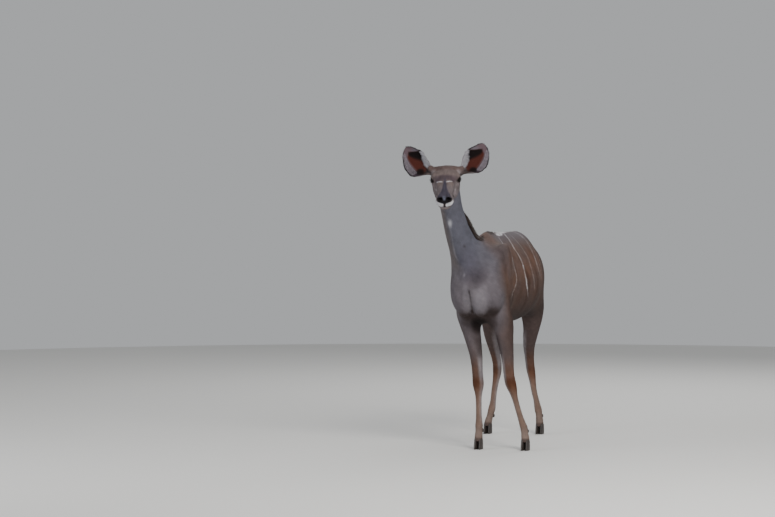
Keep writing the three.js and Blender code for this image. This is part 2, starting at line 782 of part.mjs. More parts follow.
// Points of the nape and the back line on the skin, from the poll to the tail
function backLine(count) {
  const points = [];
  const napeSide = neck.v.clone().negate();
  const shoulder = neck.first + 0.3 * (neck.last - neck.first);
  const napeSteps = Math.round(count * 0.4);
  for (const s of stepsBetween(neck.last - 24, shoulder, napeSteps)) {
    const middle = neck.middleAt(s);
    const reach = reachToSkin(middle, napeSide, 300, BODY_FORMS);
    points.push({ point: middle.addScaledVector(napeSide, reach), out: napeSide });
  }
  const lastNape = points[points.length - 1].point.y;
  for (const y of stepsBetween(lastNape + 40, 590, count - napeSteps)) {
    const middle = trunk.middleAt(y);
    const reach = reachToSkin(middle, UP, 400, BODY_FORMS);
    points.push({ point: middle.addScaledVector(UP, reach), out: UP });
  }
  const sideways = points.map(({ point }) => point.x);
  points.forEach(({ point }, j) => {
    const near = sideways.slice(Math.max(j - 3, 0), j + 4);
    point.x = near.reduce((sum, x) => sum + x, 0) / near.length;
  });
  return points;
}

// The crest as one smooth blade, its foot sunk in the skin
function crestSolid() {
  const height = smoothRows(CREST);
  const line = backLine(36);
  const rings = line.map(({ point, out }, j) => {
    const before = line[Math.max(j - 1, 0)];
    const after = line[Math.min(j + 1, line.length - 1)];
    const along = after.point.clone().sub(before.point).normalize();
    const up = before.out.clone().add(out).add(after.out);
    up.addScaledVector(along, -up.dot(along)).normalize();
    const [tall, half, lean] = height(j / (line.length - 1));
    up.applyAxisAngle(along, lean * D);
    const across = new THREE.Vector3().crossVectors(up, along).normalize();
    const corners = [[-half, -14], [-half * 0.9, 0.35 * tall], [-2, tall], [2, tall],
      [half * 0.9, 0.35 * tall], [half, -14]];
    return corners.map(([a, b]) => point.clone().addScaledVector(across, a).addScaledVector(up, b));
  });
  return solidFromRings(rings);
}

// The mane's locks, one after another to the left and to the right of the crest's middle
function maneLocks() {
  const draw = seededDraw(7);
  const line = backLine(36);
  const lengthAt = smoothRows(MANE.lengths);
  const tallAt = smoothRows(CREST);
  return stepsBetween(MANE.first, MANE.last, MANE.locks - 1).map((place, k) => {
    const spot = place * (line.length - 1);
    const j = Math.floor(spot);
    const point = line[j].point.clone().lerp(line[j + 1].point, spot - j);
    const down = line[j + 1].point.clone().sub(line[j].point).normalize();
    const out = line[j].out.clone().addScaledVector(down, -down.dot(line[j].out)).normalize();
    const left = new THREE.Vector3().crossVectors(down, out);
    left.multiplyScalar(Math.sign(left.x));
    const offset = (k % 2 ? 1 : -1) * (2.5 + 2 * draw());
    const leave = out.clone().multiplyScalar(MANE.leave.out)
      .addScaledVector(down, MANE.leave.down)
      .addScaledVector(left, 0.05 * offset + 0.1)
      .normalize();
    const rest = out.clone().multiplyScalar(MANE.rest.out)
      .addScaledVector(down, MANE.rest.down)
      .addScaledVector(left, MANE.rest.left + 0.05 * offset)
      .normalize();
    return lockSolid({
      root: point.addScaledVector(left, offset).addScaledVector(out, 0.2 * tallAt(place)[0] - 6),
      leave,
      rest,
      across: left.clone().addScaledVector(out, 0.5 * (draw() - 0.5)),
      length: lengthAt(place)[0] * (0.85 + 0.3 * draw()),
      wide: MANE.wide,
      thick: MANE.thick,
    });
  });
}

// The tail's brush: each lock starts inside the tail and hangs down along it
function brushLocks() {
  const draw = seededDraw(19);
  const lengthAt = smoothRows(BRUSH.lengths);
  const middleAt = smoothRows(TAIL.slice(3).map(([x, y, z, r]) => [z, x, y, r]));
  return BRUSH.rings.flatMap(([z, count], ring) => (
    Array.from({ length: count }, (_, k) => {
      const angle = (2 * Math.PI * (k + 0.5 * (ring % 2) + 0.3 * draw())) / count;
      const [x, y, radius] = middleAt(z);
      const out = new THREE.Vector3(Math.cos(angle), Math.sin(angle), 0);
      const down = new THREE.Vector3(0, 0, -1);
      return lockSolid({
        root: new THREE.Vector3(x, y, z).addScaledVector(out, radius - 6),
        leave: out.clone().multiplyScalar(0.6).add(down).normalize(),
        rest: down.clone().addScaledVector(out, 0.1 + 0.15 * draw()).normalize(),
        across: new THREE.Vector3().crossVectors(down, out),
        length: lengthAt(z)[0] * (0.85 + 0.3 * draw()),
        wide: BRUSH.wide,
        thick: BRUSH.thick,
      });
    })
  ));
}

// Thin cuts: each keeps what lies on the side its normal points to
const HEAD_CUT = {
  point: new THREE.Vector3(-155, -655, 1510),
  normal: new THREE.Vector3(-0.15, -0.75, 0.64),
};
const NECK_CUT = {
  point: new THREE.Vector3(-60, -535, 1115),
  normal: new THREE.Vector3(-0.15, -0.74, 0.675),
};

const skin = {
  head: skinnedSolid(skull, {
    places: stepsBetween(skull.first, skull.last, 25), sides: 24, allowance: 80, forms: BODY_FORMS,
  }),
  neck: skinnedSolid(neck, {
    places: stepsBetween(neck.first, neck.last, 20), sides: 22, allowance: 80, forms: BODY_FORMS,
  }),
  torso: skinnedSolid(trunk, {
    places: [-658, -652, -642, -628, ...stepsBetween(-608, 600, 28), 620, 636, 646],
    sides: 26,
    allowance: 75,
    forms: BODY_FORMS,
  }),
};
const aboveHeadCut = (offset) => halfSpace(HEAD_CUT.point, HEAD_CUT.normal, offset);
const aboveNeckCut = (offset) => halfSpace(NECK_CUT.point, NECK_CUT.normal, offset);

const pieces = {};
const crest = crestSolid();
const mane = maneLocks().reduce((all, lock) => all.add(lock), crest);
let headSolid = skin.head.add(mane);
for (const sign of [LEFT, RIGHT]) {
  headSolid = headSolid.add(earSolid(sign)).add(lidSolid(sign));
}
headSolid = headSolid.intersect(aboveHeadCut(GAP / 2)).subtract(mouthSolid());
for (const sign of [LEFT, RIGHT]) {
  const side = sign === LEFT ? 'left' : 'right';
  const eyeMiddle = onHead(EYE.at[0] * sign, EYE.at[1], EYE.at[2]);
  headSolid = headSolid.subtract(ball(eyeMiddle, EYE.radius + GAP)).subtract(nostrilSolid(sign));
  pieces[`eye_${side}`] = ball(eyeMiddle, EYE.radius);
  const { root, along } = earFrame(sign);
  const cut = root.clone().addScaledVector(along, EAR.length * EAR.rootCut);
  const [ear, rest] = partBy(headSolid, (offset) => halfSpace(cut, along, offset));
  pieces[`ear_${side}`] = largestPiece(ear);
  headSolid = rest;
}
pieces.head = largestPiece(headSolid);
pieces.neck = largestPiece(
  skin.neck.add(mane).subtract(aboveHeadCut(-GAP / 2)).intersect(aboveNeckCut(GAP / 2)),
);
const tailCut = new THREE.Vector3(...TAIL[1].slice(0, 3));
const brush = brushLocks().reduce((all, lock) => all.add(lock), solidAlong(TAIL, 12));
const [tail, tailless] = partBy(
  skin.torso.add(brush),
  (offset) => halfSpace(tailCut, new THREE.Vector3(0, 0.86, -0.5), offset)
    .intersect(halfSpace(new THREE.Vector3(0, 652, 0), BACKWARD, offset)),
);
pieces.tail = largestPiece(tail);
let torso = tailless;
for (const [name, form] of Object.entries(legs)) {
  const top = name.startsWith('foreleg') ? 820 : 860;
  const heights = [HOOF_HEIGHT + GAP, 74, 92, 108, 124, 140, 160, 200, 270, 305, 330, 352, 376,
    400, 430, 475, 525, 575, 625, 670, 710, 750, top];
  const leg = skinnedSolid(form, {
    places: heights, sides: 12, allowance: 30, ownFrom: 740, forms: ALL_FORMS,
  });
  torso = torso.add(leg);
}
pieces.torso = torso.add(crest).subtract(aboveNeckCut(-GAP / 2));
for (const name of Object.keys(legs)) {
  const sign = name.endsWith('left') ? LEFT : RIGHT;
  const fore = name.startsWith('foreleg');
  const inside = fore ? 20 * sign - 10 : 4 * sign;
  const inner = new THREE.Vector3(inside, fore ? -400 : 430, fore ? 690 : 725);
  const normal = new THREE.Vector3(0.62 * sign, fore ? -0.1 : 0.25, -0.78);
  const region = (offset) => halfSpace(inner, normal, offset)
    .intersect(halfSpace(new THREE.Vector3(0, 0, 0), new THREE.Vector3(sign, 0, 0), 1 + offset))
    .intersect(halfSpace(
      new THREE.Vector3(0, 0, 0),
      new THREE.Vector3(0, fore ? -1 : 1, 0),
      (fore ? 200 : 150) + offset,
    ));
  const [cutLeg, rest] = partBy(pieces.torso, region);
  pieces.torso = rest;
  let leg = cutLeg;
  const foot = legs[name].middleAt(HOOF_HEIGHT + GAP);
  const fetlock = legs[name].middleAt(DEWCLAW.height);
  [LEFT, RIGHT].forEach((inner) => {
    const where = inner === sign ? 'outer' : 'inner';
    leg = leg.subtract(dewclawSolid(fetlock.x, fetlock.y, inner, GAP));
    pieces[`dewclaw_${name}_${where}`] = dewclawSolid(fetlock.x, fetlock.y, inner, 0);
    pieces[`hoof_${name}_${where}`] = toeSolid(foot.x, foot.y, 1, inner);
  });
  pieces[name] = largestPiece(leg);
}
pieces.torso = largestPiece(pieces.torso);

// Colour, roughness and metalness of each kind of surface
const SURFACES = {
  coat: { color: 0x80706a, roughness: 0.92, metalness: 0 },
  neck_coat: { color: 0x84807f, roughness: 0.92, metalness: 0 },
  leg_coat: { color: 0x93765f, roughness: 0.9, metalness: 0 },
  ear_skin: { color: 0x6f5f5c, roughness: 0.88, metalness: 0 },
  eye_wet: { color: 0x140c08, roughness: 0.08, metalness: 0 },
  horn: { color: 0x332c29, roughness: 0.55, metalness: 0 },
};
function surfaceOf(name) {
  if (name.startsWith('eye')) return SURFACES.eye_wet;
  if (name.startsWith('ear')) return SURFACES.ear_skin;
  if (name.startsWith('hoof') || name.startsWith('dewclaw')) return SURFACES.horn;
  if (name.startsWith('foreleg') || name.startsWith('hindleg')) return SURFACES.leg_coat;
  if (name === 'neck' || name === 'head') return SURFACES.neck_coat;
  return SURFACES.coat;
}

// One mesh for each part, moved so that the middle of the footprint is the origin
const footprint = new THREE.Box3();
for (const solid of Object.values(pieces)) {
  const { min, max } = solid.boundingBox();
  footprint.expandByPoint(new THREE.Vector3(...min));
  footprint.expandByPoint(new THREE.Vector3(...max));
}
const middleOfAll = footprint.getCenter(new THREE.Vector3()).setZ(footprint.min.z);
const group = new THREE.Group();
group.name = 'greater_kudu_cow';
for (const [name, solid] of Object.entries(pieces)) {
  const mesh = solid.getMesh();
  const geometry = new THREE.BufferGeometry();
  geometry.setAttribute('position', new THREE.BufferAttribute(
    new Float32Array(mesh.vertProperties),
    3,
  ));
  geometry.setIndex(new THREE.BufferAttribute(new Uint32Array(mesh.triVerts), 1));
  geometry.translate(-middleOfAll.x, -middleOfAll.y, -middleOfAll.z);
  const item = new THREE.Mesh(geometry, new THREE.MeshStandardMaterial(surfaceOf(name)));
  item.name = name;
  group.add(item);
}
export default group;
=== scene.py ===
# %% [markdown]
# # A greater kudu cow, standing and looking at us
#
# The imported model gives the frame: the animal's size, its place on the floor and its eyes and
# feet. This lesson dresses it. One skin goes over all the flesh, a short coat and a mane grow
# on the skin, and the eyes, the lids and the hooves are made one by one.
#
# We start with the frame and keep its box, because the finished animal has to stay inside it.

# %% Load the frame
import math
import bpy
import numpy as np
from mathutils import Matrix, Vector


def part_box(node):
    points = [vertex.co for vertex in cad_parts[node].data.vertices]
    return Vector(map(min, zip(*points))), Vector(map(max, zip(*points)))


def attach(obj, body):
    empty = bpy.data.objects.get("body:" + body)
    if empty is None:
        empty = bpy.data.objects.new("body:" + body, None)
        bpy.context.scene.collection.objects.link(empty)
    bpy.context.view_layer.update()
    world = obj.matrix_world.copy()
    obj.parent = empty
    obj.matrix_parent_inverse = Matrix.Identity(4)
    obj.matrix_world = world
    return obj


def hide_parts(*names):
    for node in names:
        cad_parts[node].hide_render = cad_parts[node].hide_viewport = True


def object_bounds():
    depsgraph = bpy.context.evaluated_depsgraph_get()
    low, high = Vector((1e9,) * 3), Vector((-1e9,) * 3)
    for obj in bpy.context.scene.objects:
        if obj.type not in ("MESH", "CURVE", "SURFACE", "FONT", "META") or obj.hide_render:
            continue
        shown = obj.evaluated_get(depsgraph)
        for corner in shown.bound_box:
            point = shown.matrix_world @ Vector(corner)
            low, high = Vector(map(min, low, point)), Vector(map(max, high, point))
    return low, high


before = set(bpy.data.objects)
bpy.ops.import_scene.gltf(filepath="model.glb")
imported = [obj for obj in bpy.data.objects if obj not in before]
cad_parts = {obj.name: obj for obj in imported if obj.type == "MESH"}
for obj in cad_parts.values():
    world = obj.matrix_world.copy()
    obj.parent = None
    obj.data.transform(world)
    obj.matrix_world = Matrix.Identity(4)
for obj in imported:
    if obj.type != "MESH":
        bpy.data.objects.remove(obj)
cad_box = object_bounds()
print("frame box", [round(float(b - a), 3) for a, b in zip(*cad_box)])

# %% [markdown]
# ## The body as one field
#
# A kudu's body has no edges: chest, shoulder and neck run into one another. It could be
# sculpted from one block, or joined from parts with a remesh, but then every change of pose or
# size starts over. So it is written as a field. Each part is a rounded form with a known
# distance to its surface, and a smooth minimum melts the forms together. The skin is where
# that field is zero.
#
# Trunk, neck and head are runs of oval sections. A row gives the middle of a section, half its
# width and its reach to either side. All sizes are those of the solids, in millimetres: +X is
# the animal's left, -Y is forward, +Z is up and the floor is z = 0.

# %% Sizes of the trunk, the neck and the head
HOOF_HEIGHT = 56
LEFT, RIGHT = 1, -1

# place of the section's middle, half width, height above and below it
TRUNK = [
    [-42, -662, 933, 3, 5, 5], [-42, -648, 938, 40, 56, 50], [-42, -620, 945, 66, 100, 92],
    [-38, -550, 955, 106, 170, 158], [-30, -450, 955, 128, 240, 200],
    [-20, -340, 955, 140, 283, 226], [-12, -200, 950, 160, 285, 246],
    [-4, 0, 945, 192, 282, 250], [0, 150, 945, 206, 280, 245], [0, 300, 950, 184, 273, 215],
    [0, 420, 960, 152, 260, 175], [0, 520, 972, 128, 226, 140], [0, 580, 982, 102, 168, 110],
    [0, 625, 990, 68, 110, 70], [0, 648, 995, 34, 50, 36],
]
# from the chest to the back of the skull: middle, half width, throat side, nape side
NECK = [
    [-30, -400, 960, 120, 190, 150], [-52, -455, 1060, 98, 170, 144],
    [-98, -515, 1165, 79, 142, 128], [-128, -565, 1265, 67, 117, 106],
    [-146, -605, 1365, 62, 98, 90], [-156, -640, 1460, 65, 84, 78],
    [-162, -668, 1540, 67, 70, 72], [-165, -690, 1590, 52, 50, 56],
]
# the head's own frame starts midway between the eyes
HEAD_PLACE = [-139, -800, 1547]
HEAD_YAW, HEAD_PITCH, HEAD_ROLL = 11.5, 27, 2
# from the back of the skull to the nose: along, down, half width, jaw side, brow side
HEAD = [
    [-180, 62, 14, 18, 14], [-170, 54, 34, 44, 26], [-154, 38, 46, 56, 34],
    [-130, 20, 56, 66, 42],
    [-90, 14, 64, 78, 53], [-50, 12, 69, 84, 57], [0, 6, 67, 82, 51],
    [40, 4, 57, 75, 45], [80, 4, 50, 65, 40], [120, 4, 45, 56, 36], [160, 4, 42, 50, 32],
    [200, 6, 43, 46, 31], [225, 8, 42, 42, 30], [242, 10, 38, 37, 27], [252, 12, 29, 28, 20],
    [257, 12, 16, 16, 11],
]
print(len(TRUNK), "sections of the trunk,", len(NECK), "of the neck,", len(HEAD), "of the head")

# %% [markdown]
# Seen from the side a foreleg is a straight post that narrows to the knee and again to the
# fetlock, and a hind leg has a heavy thigh and a bend at the hock. Both are runs of sections
# read by height. The sizes are the same left and right. Only the centrelines differ, because
# the animal stands with its legs in different places.

# %% Sizes of the legs
# by height: half width, reach forward, reach back
FORELEG = [
    [840, 34, 50, 55], [800, 46, 64, 68], [760, 56, 76, 84], [700, 56, 70, 84],
    [640, 50, 58, 68], [580, 43, 49, 55], [530, 38, 42, 46], [480, 34, 38, 40],
    [430, 32, 34, 36], [395, 33, 35, 35], [370, 33, 34, 34], [345, 29, 31, 34],
    [315, 22, 24, 29], [280, 17.5, 20, 24], [200, 17, 19, 24], [160, 19, 21, 28],
    [132, 22, 24, 31], [104, 20.5, 23, 26], [76, 23, 28, 25], [HOOF_HEIGHT - 12, 25, 32, 26],
]
HINDLEG = [
    [880, 34, 90, 90], [820, 50, 108, 112], [760, 60, 116, 124], [700, 58, 98, 112],
    [640, 49, 76, 92], [575, 41, 58, 72], [519, 34, 46, 60], [463, 28.5, 38, 52],
    [420, 27, 36, 44], [380, 27, 35, 36], [342, 24, 30, 31], [300, 19.5, 25, 27],
    [247, 17.5, 21, 24], [194, 17.5, 20, 25], [141, 22, 24, 31], [110, 20, 22, 25],
    [80, 22.5, 27, 24], [HOOF_HEIGHT - 12, 24.5, 31, 25],
]
# centrelines: height, x, y
LEG_LINES = {
    "foreleg_right": [
        [840, -112, -400], [760, -106, -392], [700, -94, -385], [631, -77, -390],
        [529, -55, -399], [448, -46, -405], [376, -41, -405], [325, -39, -405],
        [223, -34, -419], [132, -30, -430], [104, -28, -440], [57, -26, -460]],
    "foreleg_left": [
        [840, 92, -400], [760, 98, -392], [700, 104, -385], [634, 112, -390],
        [532, 128, -399], [430, 139, -405], [376, 149, -405], [329, 163, -406],
        [228, 196, -419], [178, 213, -426], [132, 231, -433], [104, 239, -443],
        [57, 250, -464]],
    "hindleg_right": [
        [880, -112, 440], [760, -138, 425], [700, -152, 432], [640, -160, 457],
        [575, -163, 495], [519, -162, 535], [463, -158, 575], [420, -155, 600],
        [380, -155, 609], [342, -157, 606], [300, -163, 599], [247, -169, 587],
        [194, -172, 573], [141, -178, 558], [110, -184, 547], [57, -195, 522]],
    "hindleg_left": [
        [880, 108, 445], [760, 100, 440], [700, 93, 452], [640, 82, 480], [575, 64, 523],
        [519, 49, 566], [463, 41, 610], [420, 39, 637], [380, 42, 648], [342, 49, 647],
        [300, 57, 641], [247, 68, 630], [194, 84, 617], [141, 98, 604], [110, 105, 594],
        [57, 116, 570]],
}
print("legs", *LEG_LINES)

# %% [markdown]
# Shoulder, thigh, haunch and chest stand out from the trunk as rounded lumps, and so do the
# cheeks, the brow and the lips on the head. Each is an ellipsoid on both sides of the middle
# plane, melted in with its own softness: a large one for a flat muscle, a small one for a bone.

# %% Muscles, tail, ears, feet and face
# middle, half sizes, turn in degrees, softness, the middle plane's x
MUSCLES = [
    [[86, -390, 975], [50, 140, 205], [-14, 12, 0], 110, -20],
    [[92, -380, 835], [48, 130, 135], [20, 8, 0], 60, -20],
    [[88, -545, 890], [52, 66, 92], [0, 0, 0], 70, -10],
    [[48, -580, 850], [43, 54, 84], [8, 0, 0], 36, -36],
    [[80, 460, 888], [70, 156, 192], [14, 4, 0], 70, 0],
    [[104, 335, 830], [50, 90, 104], [-20, 0, 0], 80, 0],
    [[66, 578, 935], [52, 72, 152], [-6, 0, 0], 60, 0],
    [[66, 300, 1102], [30, 60, 34], [0, 0, 0], 44, 0],
    [[46, 598, 1052], [26, 34, 40], [0, 0, 0], 50, 0],
]
# the tail under its hair, middle and radius
TAIL = [
    [0, 580, 1112, 22], [0, 636, 1102, 19], [0, 676, 1068, 15], [-3, 696, 1010, 12],
    [-6, 704, 940, 10], [-8, 706, 870, 8], [-9, 704, 800, 6],
]
# ears: root, length, the way the tip lies and the way the cup opens, left and right
EAR_ROOT = {LEFT: [60, 20, -92], RIGHT: [-56, 6, -92]}
EAR_LEAN = {LEFT: [133, 91, 172], RIGHT: [-194, 34, 152]}
EAR_FACE = {LEFT: [-0.06, -0.98, -0.16], RIGHT: [0.14, -0.97, -0.16]}
EAR_SPREAD = {LEFT: 1.07, RIGHT: 1}
EAR_LENGTH = 236
# from root to tip: outer half width, inner half width, half of the roll in degrees
EAR_ROWS = [
    [0, 22, 14, 150], [0.08, 30, 13, 135], [0.15, 46, 13, 112], [0.22, 70, 17, 92],
    [0.3, 88, 25, 74], [0.4, 97, 36, 62], [0.54, 97, 46, 52], [0.69, 87, 40, 44],
    [0.85, 61, 26, 38], [0.92, 46, 19, 34], [0.975, 26, 10, 30], [1, 8, 5, 28],
]
# hooves and dewclaws: height, half width, reach in front and behind
TOE_APART = 13.2
TOE = [[0, 12, 48, 24], [7, 12.8, 48, 27], [30, 12.6, 38, 27], [HOOF_HEIGHT, 11.6, 28, 23]]
DEWCLAW = {"apart": 13, "behind": 25, "height": 112, "radius": 9, "length": 27}
# forms of the face: side, down and along from midway between the eyes, then as above
FACE = [
    [[49, 50, -28], [27, 50, 60], [0, 0, 0], 30],
    [[49, 64, 26], [18, 28, 66], [0, 0, 0], 26],
    [[58, 21, 4], [15, 15, 44], [0, 0, 0], 22],
    [[56, -28, -6], [20, 12, 30], [0, 0, 0], 26],
    [[46, 2, -92], [28, 28, 28], [0, 0, 0], 26],
    [[26, 24, 208], [24, 20, 42], [0, 0, 0], 16],
    [[23, -4, 226], [18, 18, 26], [0, 0, 0], 12],
    [[0, 44, 202], [27, 16, 48], [0, 0, 0], 24],
]
print(len(MUSCLES), "muscles and", len(FACE), "forms of the face on each side")

# %% [markdown]
# ## Small tools
#
# Everything is worked out on arrays of points at once, so a field of a million points takes a
# second or two. These few helpers come back all through the lesson: a unit vector, a turn about
# an axis, a smooth ramp from 0 to 1, and a smooth curve through rows of a table.

# %% Vectors, ramps and smooth rows
X_AXIS, Y_AXIS, Z_AXIS = np.eye(3)


def unit(v):
    v = np.asarray(v, float)
    return v / np.linalg.norm(v, axis=-1, keepdims=True)


def turned(v, axis, degrees):
    a = math.radians(degrees)
    return (v * math.cos(a) + np.cross(axis, v) * math.sin(a)
            + axis * (axis @ v) * (1 - math.cos(a)))


def euler_matrix(x, y, z):
    cx, cy, cz = np.cos(np.radians([x, y, z]))
    sx, sy, sz = np.sin(np.radians([x, y, z]))
    about_x = np.array([[1, 0, 0], [0, cx, -sx], [0, sx, cx]])
    about_y = np.array([[cy, 0, sy], [0, 1, 0], [-sy, 0, cy]])
    about_z = np.array([[cz, -sz, 0], [sz, cz, 0], [0, 0, 1]])
    return about_x @ about_y @ about_z


def ramp(value, low, high):
    """0 below low, 1 above high, smooth between."""
    t = np.clip((value - low) / (high - low), 0, 1)
    return t * t * (3 - 2 * t)


def smooth_rows(rows):
    """A smooth curve through rows of [place, value, value ...], read at any places."""
    rows = np.array(sorted(rows), float)
    x, y = rows[:, 0], rows[:, 1:]
    last = len(x) - 1
    before = np.maximum(np.arange(last + 1) - 1, 0)
    after = np.minimum(np.arange(last + 1) + 1, last)
    slope = (y[after] - y[before]) / (x[after] - x[before])[:, None]

    def at(place):
        place = np.clip(np.asarray(place, float), x[0], x[-1])
        i = np.clip(np.searchsorted(x, place, side="right") - 1, 0, last - 1)
        width = (x[i + 1] - x[i])[..., None]
        t = (place - x[i])[..., None] / width
        a, b, m, n = y[i], y[i + 1], slope[i] * width, slope[i + 1] * width
        return a + t * (m + t * (3 * (b - a) - 2 * m - n + t * (2 * (a - b) + m + n)))
    return at


print("half way up a ramp:", float(ramp(0.5, 0, 1)))

# %% [markdown]
# The head looks back at us while the body stands away from us. So the head has directions of
# its own, and everything on it is placed by them: to the side, down, and along the face.

# %% The head's own directions
yaw, pitch = math.radians(HEAD_YAW), math.radians(HEAD_PITCH)
head_along = np.array([math.sin(yaw) * math.cos(pitch), -math.cos(yaw) * math.cos(pitch),
                       -math.sin(pitch)])
head_side = turned(np.array([math.cos(yaw), math.sin(yaw), 0]), head_along, HEAD_ROLL)
head_down = np.cross(head_side, head_along)
HEAD_AXES = np.stack([head_side, head_down, head_along])


def on_head(side, down, along):
    """Points given by the head's own directions, in body coordinates."""
    return np.array(HEAD_PLACE) + np.stack(np.broadcast_arrays(side, down, along), -1) @ HEAD_AXES


def to_head(points):
    """side, down and along of points, measured from midway between the eyes."""
    return (points - HEAD_PLACE) @ HEAD_AXES.T


print("the face points", np.round(head_along, 2))

# %% [markdown]
# ## Three kinds of forms
#
# A swept form is a run of rounded sections, an ellipsoid is a muscle, and a tube is a tail or
# the stem of an ear. Each gives the distance of any point from its surface, less than zero
# inside, and the box that it can be felt in. The sections aren't plain ellipses: a power a
# little over 2 makes a fuller flank, and one under 2 a narrower back.

# %% A run of sections
MARGIN = 20


def swept_form(along, side, rows, square=(2.1, 2.1), soft=40, rounder=(0, 1, 0)):
    """A smooth run of rounded sections along a straight axis."""
    w = unit(along)
    u = unit(side - w * (w @ side))
    v = np.cross(u, w)
    rows = np.array(rows, float)
    table = np.column_stack([rows[:, :3] @ w, rows[:, :3] @ u, rows[:, :3] @ v, rows[:, 3:]])
    section = smooth_rows(table.tolist())
    first, last = table[:, 0].min(), table[:, 0].max()

    def distance(p):
        s = p @ w
        cu, cv, half, plus, minus = np.moveaxis(section(s), -1, 0)
        qu, qv = p @ u - cu, p @ v - cv
        upper = square[0] + rounder[2] * ramp(s, rounder[0], rounder[1])
        power = np.where(qv > 0, upper, square[1])
        ratio = (np.abs(qu / half) ** power
                 + np.abs(qv / np.where(qv > 0, plus, minus)) ** power) ** (1 / power)
        far = np.hypot(qu, qv)
        across = np.where(ratio < 1e-6, -half, (1 - 1 / np.maximum(ratio, 1e-6)) * far)
        beyond = np.maximum(first - s, s - last)
        return np.where(beyond <= 0, np.maximum(across, beyond),
                        np.hypot(np.maximum(across, 0), beyond))
    reach = rows[:, 3:].max() + soft + MARGIN
    return {"distance": distance, "soft": soft, "section": section,
            "low": rows[:, :3].min(0) - reach, "high": rows[:, :3].max(0) + reach}


print("a form is felt", MARGIN, "mm beyond its softness")


# %% Ellipsoids and tubes
def ellipsoid_form(row, sign=LEFT, on_face=False):
    at, size, turn, soft, mid = (*row, 0)[:5]
    size = np.array(size, float)
    middle = np.array([mid + at[0] * sign, at[1], at[2]], float)
    back = euler_matrix(turn[0], turn[1] * sign, turn[2] * sign)
    if on_face:
        middle = on_head(at[0] * sign, at[1], at[2])
        back = HEAD_AXES.T @ back

    def distance(p):
        q = (p - middle) @ back
        k0 = np.sqrt(((q / size) ** 2).sum(-1))
        k1 = np.sqrt(((q / size ** 2) ** 2).sum(-1))
        return np.where(k1 < 1e-9, -size.min(), k0 * (k0 - 1) / np.maximum(k1, 1e-9))
    reach = size.max() + soft + MARGIN
    return {"distance": distance, "soft": soft, "low": middle - reach, "high": middle + reach}


def tube_form(path, soft):
    """A round tube through rows of [x, y, z, radius]."""
    path = np.array(path, float)

    def distance(p):
        near = np.full(len(p), 999.0)
        for a, b in zip(path[:-1], path[1:]):
            run = b[:3] - a[:3]
            t = np.clip((p - a[:3]) @ run / (run @ run), 0, 1)
            off = np.linalg.norm(p - a[:3] - t[:, None] * run, axis=1)
            near = np.minimum(near, off - a[3] - t * (b[3] - a[3]))
        return near
    reach = path[:, 3].max() + soft + MARGIN
    return {"distance": distance, "soft": soft,
            "low": path[:, :3].min(0) - reach, "high": path[:, :3].max(0) + reach}


print("the first muscle is felt from", ellipsoid_form(MUSCLES[0])["low"].round().tolist())

# %% [markdown]
# Now the tables become forms. A leg's sizes and its centreline are joined height by height.
# Each ear adds only a short stem to the field, because its leaf is too thin for it and comes
# later.

# %% All the forms of the body
def ear_frame(sign):
    """The ear's root and its own directions: to the tip, out of the cup and across it."""
    along = unit(EAR_LEAN[sign])
    face = unit(np.array(EAR_FACE[sign]) - along * (along @ EAR_FACE[sign]))
    return on_head(*EAR_ROOT[sign]), along, face, np.cross(along, face)


def leg_form(name):
    sizes = FORELEG if name.startswith("fore") else HINDLEG
    heights = [row[0] for row in sizes]
    middles = smooth_rows(LEG_LINES[name])(heights)
    rows = [[x, y, row[0], *row[1:]] for (x, y), row in zip(middles, sizes)]
    return swept_form(Z_AXIS, X_AXIS, rows)


trunk = swept_form(Y_AXIS, X_AXIS, TRUNK, (1.36, 2.15), rounder=(0, 340, 0.34))
neck = swept_form(np.subtract(NECK[-1][:3], NECK[0][:3]), X_AXIS, NECK, (2.1, 1.7), 70)
skull = swept_form(head_along, head_side,
                   [[*on_head(0, row[1], row[0]), *row[2:]] for row in HEAD], (2.1, 2.3), 45)
legs = {name: leg_form(name) for name in LEG_LINES}
tail = tube_form(TAIL, 16)
forms = [trunk, neck, skull, tail]
for sign in (LEFT, RIGHT):
    root, along, face, across = ear_frame(sign)
    stem = [[*(root + along * EAR_LENGTH * s + face * 12), 19] for s in (0, 0.08, 0.16)]
    forms.append(tube_form(stem, 30))
    forms += [ellipsoid_form(row, sign) for row in MUSCLES]
    forms += [ellipsoid_form(row, sign, on_face=True) for row in FACE]
forms += legs.values()
print(len(forms), "forms")

# %% [markdown]
# ## Melting them together
#
# Where two forms are nearly the same distance away, a smooth minimum fills the crease between
# them, as wide as the softness says. A form that is too far away to matter is skipped, which
# makes the field many times faster.

# %% Smooth minimum and smooth cut
FAR = 400.0


def melted(near, other, soft):
    h = np.maximum(soft - np.abs(near - other), 0) / soft
    return np.minimum(near, other) - h * h * soft / 4


def within(points, form):
    """The rows of the points in a form's box."""
    return np.flatnonzero(((points > form["low"]) & (points < form["high"])).all(1))


def field(points):
    near = np.full(len(points), FAR)
    for form in forms:
        rows = within(points, form)
        if len(rows):
            near[rows] = melted(near[rows], form["distance"](points[rows]), form["soft"])
    return near


def smooth_cut(near, hollow, soft):
    h = np.maximum(soft - np.abs(near + hollow), 0) / soft
    return np.maximum(near, -hollow) + h * h * soft / 4


print("the heart lies", round(-float(field(np.array([[0, -300, 900.0]]))[0])), "mm deep")

# %% [markdown]
# Some details only the skin has: the furrow between the muscles of the chest, the hollows of
# the nostrils, the line between the lips and the sockets of the eyes. They are cut from the
# melted field afterwards. A cut is a smooth maximum of the field and the hollow turned inside
# out, so its edge is rounded like skin, which a sharp Boolean can't do.

